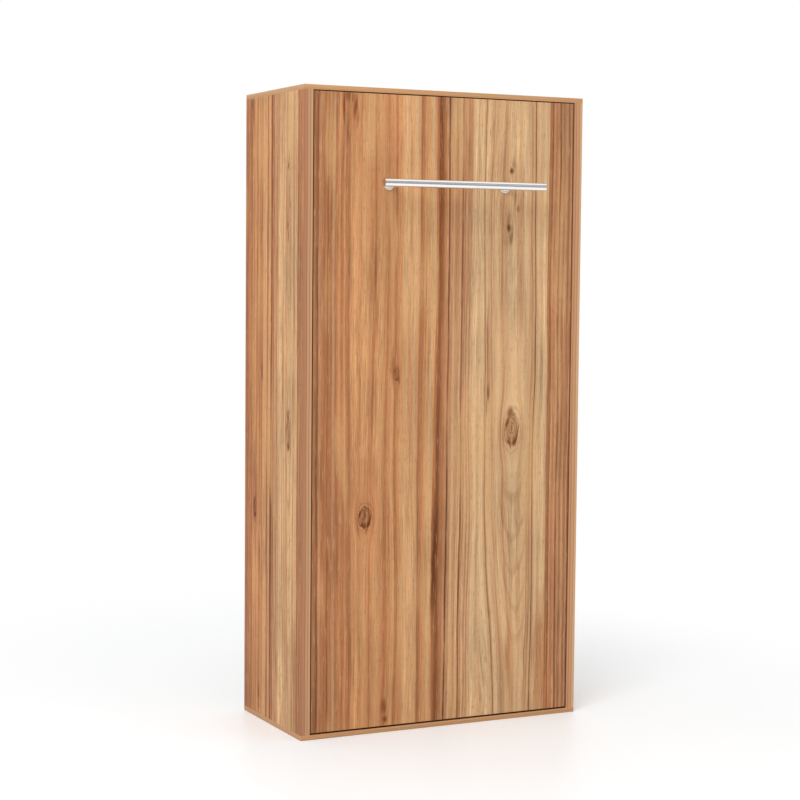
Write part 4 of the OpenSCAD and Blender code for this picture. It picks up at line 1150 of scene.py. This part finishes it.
def strap_tail(shape):
    """Doubled end that comes out of the buckle and lies on the strap."""
    start = (BUCKLES_LOW.x + BUCKLES_HIGH.x) / 2 + TAIL_FROM
    line = []
    for k in range(TAIL_POINTS):
        x = start + TAIL_STEP * k
        line.append((x, shape.strap_line(x) + TAIL_LIFT + TAIL_WAVE * math.sin(k * 0.9) ** 2))
    return line


def build_straps(shape):
    material = finish("Webbing", paint_webbing, shape.bed)
    for count, z in enumerate(shape.straps, start=1):
        name = f"strap_webbing_{count}"
        low, high = z - shape.strap_half, z + shape.strap_half
        bm = ribbon(strap_path(shape), low, high, STRAP_THICK)
        tail = ribbon(strap_tail(shape), low + TAIL_NARROW, high - TAIL_NARROW, TAIL_THICK)
        spare = mesh_from(tail, "tail")
        bm.from_mesh(spare)
        bpy.data.meshes.remove(spare)
        bmesh.ops.recalc_face_normals(bm, faces=bm.faces)
        piece = new_piece(name, mesh_from(bm, name), material)
        selvedge = piece.modifiers.new("Selvedge", "BEVEL")
        selvedge.width = 0.0005
        selvedge.segments = 2
        selvedge.limit_method = "ANGLE"
        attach(piece, "bed")
        if count == 1:
            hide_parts("straps")


# Stage

FLOOR_HALF, FLOOR_DOWN, FLOOR_LIFT = 40.0, 0.0006, 0.17
# The real floor is an oval under the closed cabinet and the lowered bed; beyond it is white
FLOOR_MIDDLE, FLOOR_STRETCH = (0.0, 0.9, 0.0), (1.0, 0.62, 0.0)
FLOOR_FADE = (1.0, 2.4)
CARD_SIZE = (4.4, 7.4, 1)
CARDS = (("stage_card_right", (2.7, -4.7, 4.0), 25), ("stage_card_left", (-4.5, -3.7, 3.6), -50))
WHITE = (1.0, 1.0, 1.0)


def paint_floor(t, where):
    """Pale floor that keeps shadows near the bed and runs out to plain white."""
    far = t.span((where + FLOOR_MIDDLE) * FLOOR_STRETCH)
    direct = t.seen_direct()
    real = Value(t, t.nodes["Principled BSDF"].outputs[0])
    lift = t.add("ShaderNodeEmission", (0.96, 0.98, 1.0), direct * FLOOR_LIFT)
    near = t.add("ShaderNodeAddShader", real, lift)
    white = t.add("ShaderNodeEmission", WHITE, 1.0)
    shown = t.add("ShaderNodeMixShader", t.band(far, *FLOOR_FADE) * direct, near, white)
    t.put(t.nodes["Material Output"].inputs["Surface"], shown)
    grain = t.noise(where, 3.0, 3.0)
    stops = [(0.0, (0.905, 0.925, 0.94)), (1.0, (0.925, 0.945, 0.96))]
    return {"base": t.ramp(grain, stops), "rough": 0.42, "gloss": 0.2}


def build_floor():
    bm = bmesh.new()
    bmesh.ops.create_grid(bm, x_segments=8, y_segments=8, size=FLOOR_HALF)
    bmesh.ops.translate(bm, vec=(0, 0, -FLOOR_DOWN), verts=bm.verts)
    material = finish("Stage floor", paint_floor)
    floor = new_piece("stage_floor", mesh_from(bm, "stage_floor"), material, smooth=False)


def build_cards():
    """Grey cards that only polished metal mirrors, as in a studio."""
    card_paint = finish("Stage card", paint_coat, tone(166, 168, 172), 0.9, 4.0, 0.0001, 0.1)
    for name, place, turn in CARDS:
        bm = bmesh.new()
        bmesh.ops.create_grid(bm, x_segments=2, y_segments=2, size=0.5)
        bmesh.ops.scale(bm, vec=CARD_SIZE, verts=bm.verts)
        for degrees, axis in ((90, "X"), (turn, "Z")):
            matrix = Matrix.Rotation(math.radians(degrees), 3, axis)
            bmesh.ops.rotate(bm, cent=(0, 0, 0), matrix=matrix, verts=bm.verts)
        bmesh.ops.translate(bm, vec=place, verts=bm.verts)
        card = new_piece(name, mesh_from(bm, name), card_paint, smooth=False)
        for ray in ("camera", "diffuse", "transmission", "shadow", "volume_scatter"):
            setattr(card, f"visible_{ray}", False)


def area_lamp(name, place, aim, width, height, power):
    data = bpy.data.lights.new(name, "AREA")
    data.shape = "RECTANGLE"
    data.size, data.size_y = width, height
    data.energy = power
    lamp = bpy.data.objects.new(name, data)
    bpy.context.scene.collection.objects.link(lamp)
    lamp.location = place
    lamp.rotation_euler = (Vector(aim) - Vector(place)).to_track_quat("-Z", "Y").to_euler()


def build_room(scene, strength):
    """Even warm light from all round, which is seen as plain white."""
    world = bpy.data.worlds.new("Room")
    scene.world = world
    world.use_nodes = True
    t = Tree(world.node_tree)
    room = t.nodes["Background"]
    t.put(room.inputs["Color"], (1.0, 0.99, 0.975))
    t.put(room.inputs["Strength"], strength)
    white = t.add("ShaderNodeBackground", WHITE, 1.0)
    shown = t.add("ShaderNodeMixShader", t.seen_direct(), Value(t, room.outputs[0]), white)
    t.put(t.nodes["World Output"].inputs["Surface"], shown)


def camera_axes(stage):
    """The camera's three axes from its turn, dip and roll."""
    st, ct = math.sin(stage.turn), math.cos(stage.turn)
    sd, cd = math.sin(stage.dip), math.cos(stage.dip)
    ahead = Vector((st * cd, ct * cd, -sd))
    right = Vector((ct, -st, 0))
    down = ahead.cross(right)
    sr, cr = math.sin(stage.roll), math.cos(stage.roll)
    return cr * right + sr * down, sr * right - cr * down, -ahead


def build_camera(scene, stage):
    data = bpy.data.cameras.new("photo_camera")
    data.sensor_width = 36.0
    data.lens = stage.lens
    data.clip_end = 100.0
    camera = bpy.data.objects.new("photo_camera", data)
    scene.collection.objects.link(camera)
    axes = Matrix(camera_axes(stage)).transposed()
    camera.matrix_world = Matrix.Translation(Vector(stage.place)) @ axes.to_4x4()
    scene.camera = camera


# Operators


class WALLBED_OT_stage(bpy.types.Operator):
    """Makes the floor, the light and the camera"""

    bl_idname = "wallbed.stage"
    bl_label = "Stage"

    def execute(self, context):
        stage = settings().stage
        build_floor()
        build_cards()
        area_lamp("key_lamp", (-4.3, -4.2, 4.9), (0, 0, 1.4), 3.4, 3.0, stage.key)
        area_lamp("fill_lamp", (3.4, -4.4, 3.0), (0, 0, 1.0), 3.0, 3.0, stage.fill)
        build_room(context.scene, stage.sky)
        build_camera(context.scene, stage)
        context.scene.view_settings.view_transform = "Standard"
        return {"FINISHED"}


class WALLBED_OT_decor(bpy.types.Operator):
    """Covers the boards with the wood decor and its edge bands"""

    bl_idname = "wallbed.decor"
    bl_label = "Decor boards"

    def execute(self, context):
        look = settings().decor
        names = {name for start, name in DECOR_BANDS} | {"glow"}
        group = decor_group({name: tuple(getattr(look, name)) for name in names})
        for label, lay, boards in (
            ("Decor front", lay_front, ["front_panel"]),
            ("Decor side", lay_side, ["side_panel_left", "side_panel_right"]),
            ("Decor across", lay_across, ["top_board", "bottom_board"]),
        ):
            dress(finish(label, paint_decor, group, look, lay), *boards)
        dress(finish("Side edge band", paint_side_band), "side_edging")
        long_band = finish("Long edge band", paint_long_band, look)
        dress(long_band, "top_board_edging", "bottom_board_edging")
        dress(finish("Panel edge band", paint_panel_band, look), "front_panel_edging")
        return {"FINISHED"}


class WALLBED_OT_back(bpy.types.Operator):
    """Finishes the back, its rails, dowels and joint strip, and the nylon bushes"""

    bl_idname = "wallbed.back"
    bl_label = "Back and rails"

    def execute(self, context):
        dress(finish("Hardboard", paint_hardboard), "back_panel_upper", "back_panel_lower")
        board = finish("Plain board", paint_plain_board, settings().decor)
        dress(board, "back_rail_top", "back_rail_bottom")
        dress(finish("Beech", paint_beech), "rail_dowels")
        nylon = finish("Nylon", paint_coat, settings().metals.nylon, 0.42, 700.0, 0.00006)
        dress(nylon, "back_joint_strip", "pivot_bushes")
        return {"FINISHED"}


class WALLBED_OT_fittings(bpy.types.Operator):
    """Finishes the hinge plates, levers, pins, screws, stops and struts"""

    bl_idname = "wallbed.fittings"
    bl_label = "Steel fittings"

    def execute(self, context):
        metals = settings().metals
        dress(
            finish("Zinc", paint_metal, metals.zinc, 0.34, 180.0),
            "carcass_screws", "hinge_plate_screws", "stop_screws", "panel_screws", "strut_studs",
            "pivot_pin_left", "pivot_pin_right", "strut_pin_left", "strut_pin_right",
            "lever_bolts", "lever_nuts", "bow_screws", "strap_rivets", "handle_bolts",
        )
        dress(
            finish("Plated steel", paint_metal, metals.plated, 0.40, 60.0, brush=500.0),
            "hinge_plate_left", "hinge_plate_right", "lever_left", "lever_right", "stop_brackets",
        )
        dress(finish("Blued steel", paint_metal, tone(54, 54, 58), 0.4, 90.0), "pivot_clips")
        dress(
            finish("Strut paint", paint_coat, metals.black, 0.22, 900.0, 0.00003),
            "strut_barrel_left", "strut_barrel_right",
        )
        dress(
            finish("Strut chrome", paint_metal, tone(222, 224, 226), 0.12, 200.0),
            "strut_rod_left", "strut_rod_right",
        )
        rubber = finish("Rubber", paint_coat, tone(30, 30, 31), 0.78, 500.0, 0.00012, 0.3)
        dress(rubber, "stop_buffers")
        dress(
            finish("Black plastic", paint_coat, metals.black, 0.45, 1400.0, 0.00008),
            "slat_shoes", "rail_end_caps", "strap_buckles", "pivot_spacers",
        )
        return {"FINISHED"}


class WALLBED_OT_base(bpy.types.Operator):
    """Finishes the steel bed frame, its bow and the slats"""

    bl_idname = "wallbed.base"
    bl_label = "Slatted base"

    def execute(self, context):
        dress(
            finish("Frame paint", paint_coat, settings().metals.paint, 0.4, 1100.0, 0.0001),
            "side_rail_left", "side_rail_right", "head_rail", "foot_rail", "cross_rail_upper",
            "cross_rail_middle", "cross_rail_lower", "mattress_bow",
        )
        dress(finish("Birch slat", paint_slat), "slats")
        return {"FINISHED"}


class WALLBED_OT_handle(bpy.types.Operator):
    """Finishes the handle bar, its posts and flanges"""

    bl_idname = "wallbed.handle"
    bl_label = "Handle"

    def execute(self, context):
        metals = settings().metals
        polished = finish("Polished steel", paint_polished, metals)
        dress(polished, "handle_bar", "handle_bar_caps", "handle_posts")
        satin = finish("Satin steel", paint_metal, metals.satin, 0.42, 90.0, brush=900.0)
        dress(satin, "handle_flanges")
        return {"FINISHED"}


class WALLBED_OT_mattress(bpy.types.Operator):
    """Makes the mattress with its tapes, and the straps round it"""

    bl_idname = "wallbed.mattress"
    bl_label = "Mattress and straps"

    def execute(self, context):
        shape = Mattress(settings().bedding)
        build_mattress(shape)
        build_tapes(shape)
        build_straps(shape)
        return {"FINISHED"}


OPERATORS = (
    WALLBED_OT_stage, WALLBED_OT_decor, WALLBED_OT_back, WALLBED_OT_fittings, WALLBED_OT_base,
    WALLBED_OT_handle, WALLBED_OT_mattress,
)


class WallBedSettings(bpy.types.PropertyGroup):
    """All sizes and colours of the wall bed's looks."""

    decor: bpy.props.PointerProperty(type=DecorColours, name="Decor")
    metals: bpy.props.PointerProperty(type=MetalColours, name="Metals")
    bedding: bpy.props.PointerProperty(type=BeddingSizes, name="Bedding")
    stage: bpy.props.PointerProperty(type=StageSizes, name="Stage")


class WALLBED_PT_looks(bpy.types.Panel):
    """Buttons and values of the wall bed"""

    bl_idname = "WALLBED_PT_looks"
    bl_label = "Wall bed"
    bl_space_type = "VIEW_3D"
    bl_region_type = "UI"
    bl_category = "Wall bed"

    def draw(self, context):
        for operator in OPERATORS:
            self.layout.operator(operator.bl_idname)
        for name in ("decor", "metals", "bedding", "stage"):
            group = getattr(context.scene.wall_bed, name)
            box = self.layout.box()
            box.label(text=name.capitalize())
            for value in group.__annotations__:
                box.prop(group, value)


CLASSES = (
    DecorColours, MetalColours, BeddingSizes, StageSizes, WallBedSettings, *OPERATORS,
    WALLBED_PT_looks,
)


def register():
    for made in CLASSES:
        bpy.utils.register_class(made)
    bpy.types.Scene.wall_bed = bpy.props.PointerProperty(type=WallBedSettings)


def unregister():
    del bpy.types.Scene.wall_bed
    for made in reversed(CLASSES):
        bpy.utils.unregister_class(made)


def main():
    register()
    bpy.ops.wallbed.stage()
    bpy.ops.wallbed.decor()
    bpy.ops.wallbed.back()
    bpy.ops.wallbed.fittings()
    bpy.ops.wallbed.base()
    bpy.ops.wallbed.handle()
    bpy.ops.wallbed.mattress()


if __name__ == "__main__":
    main()
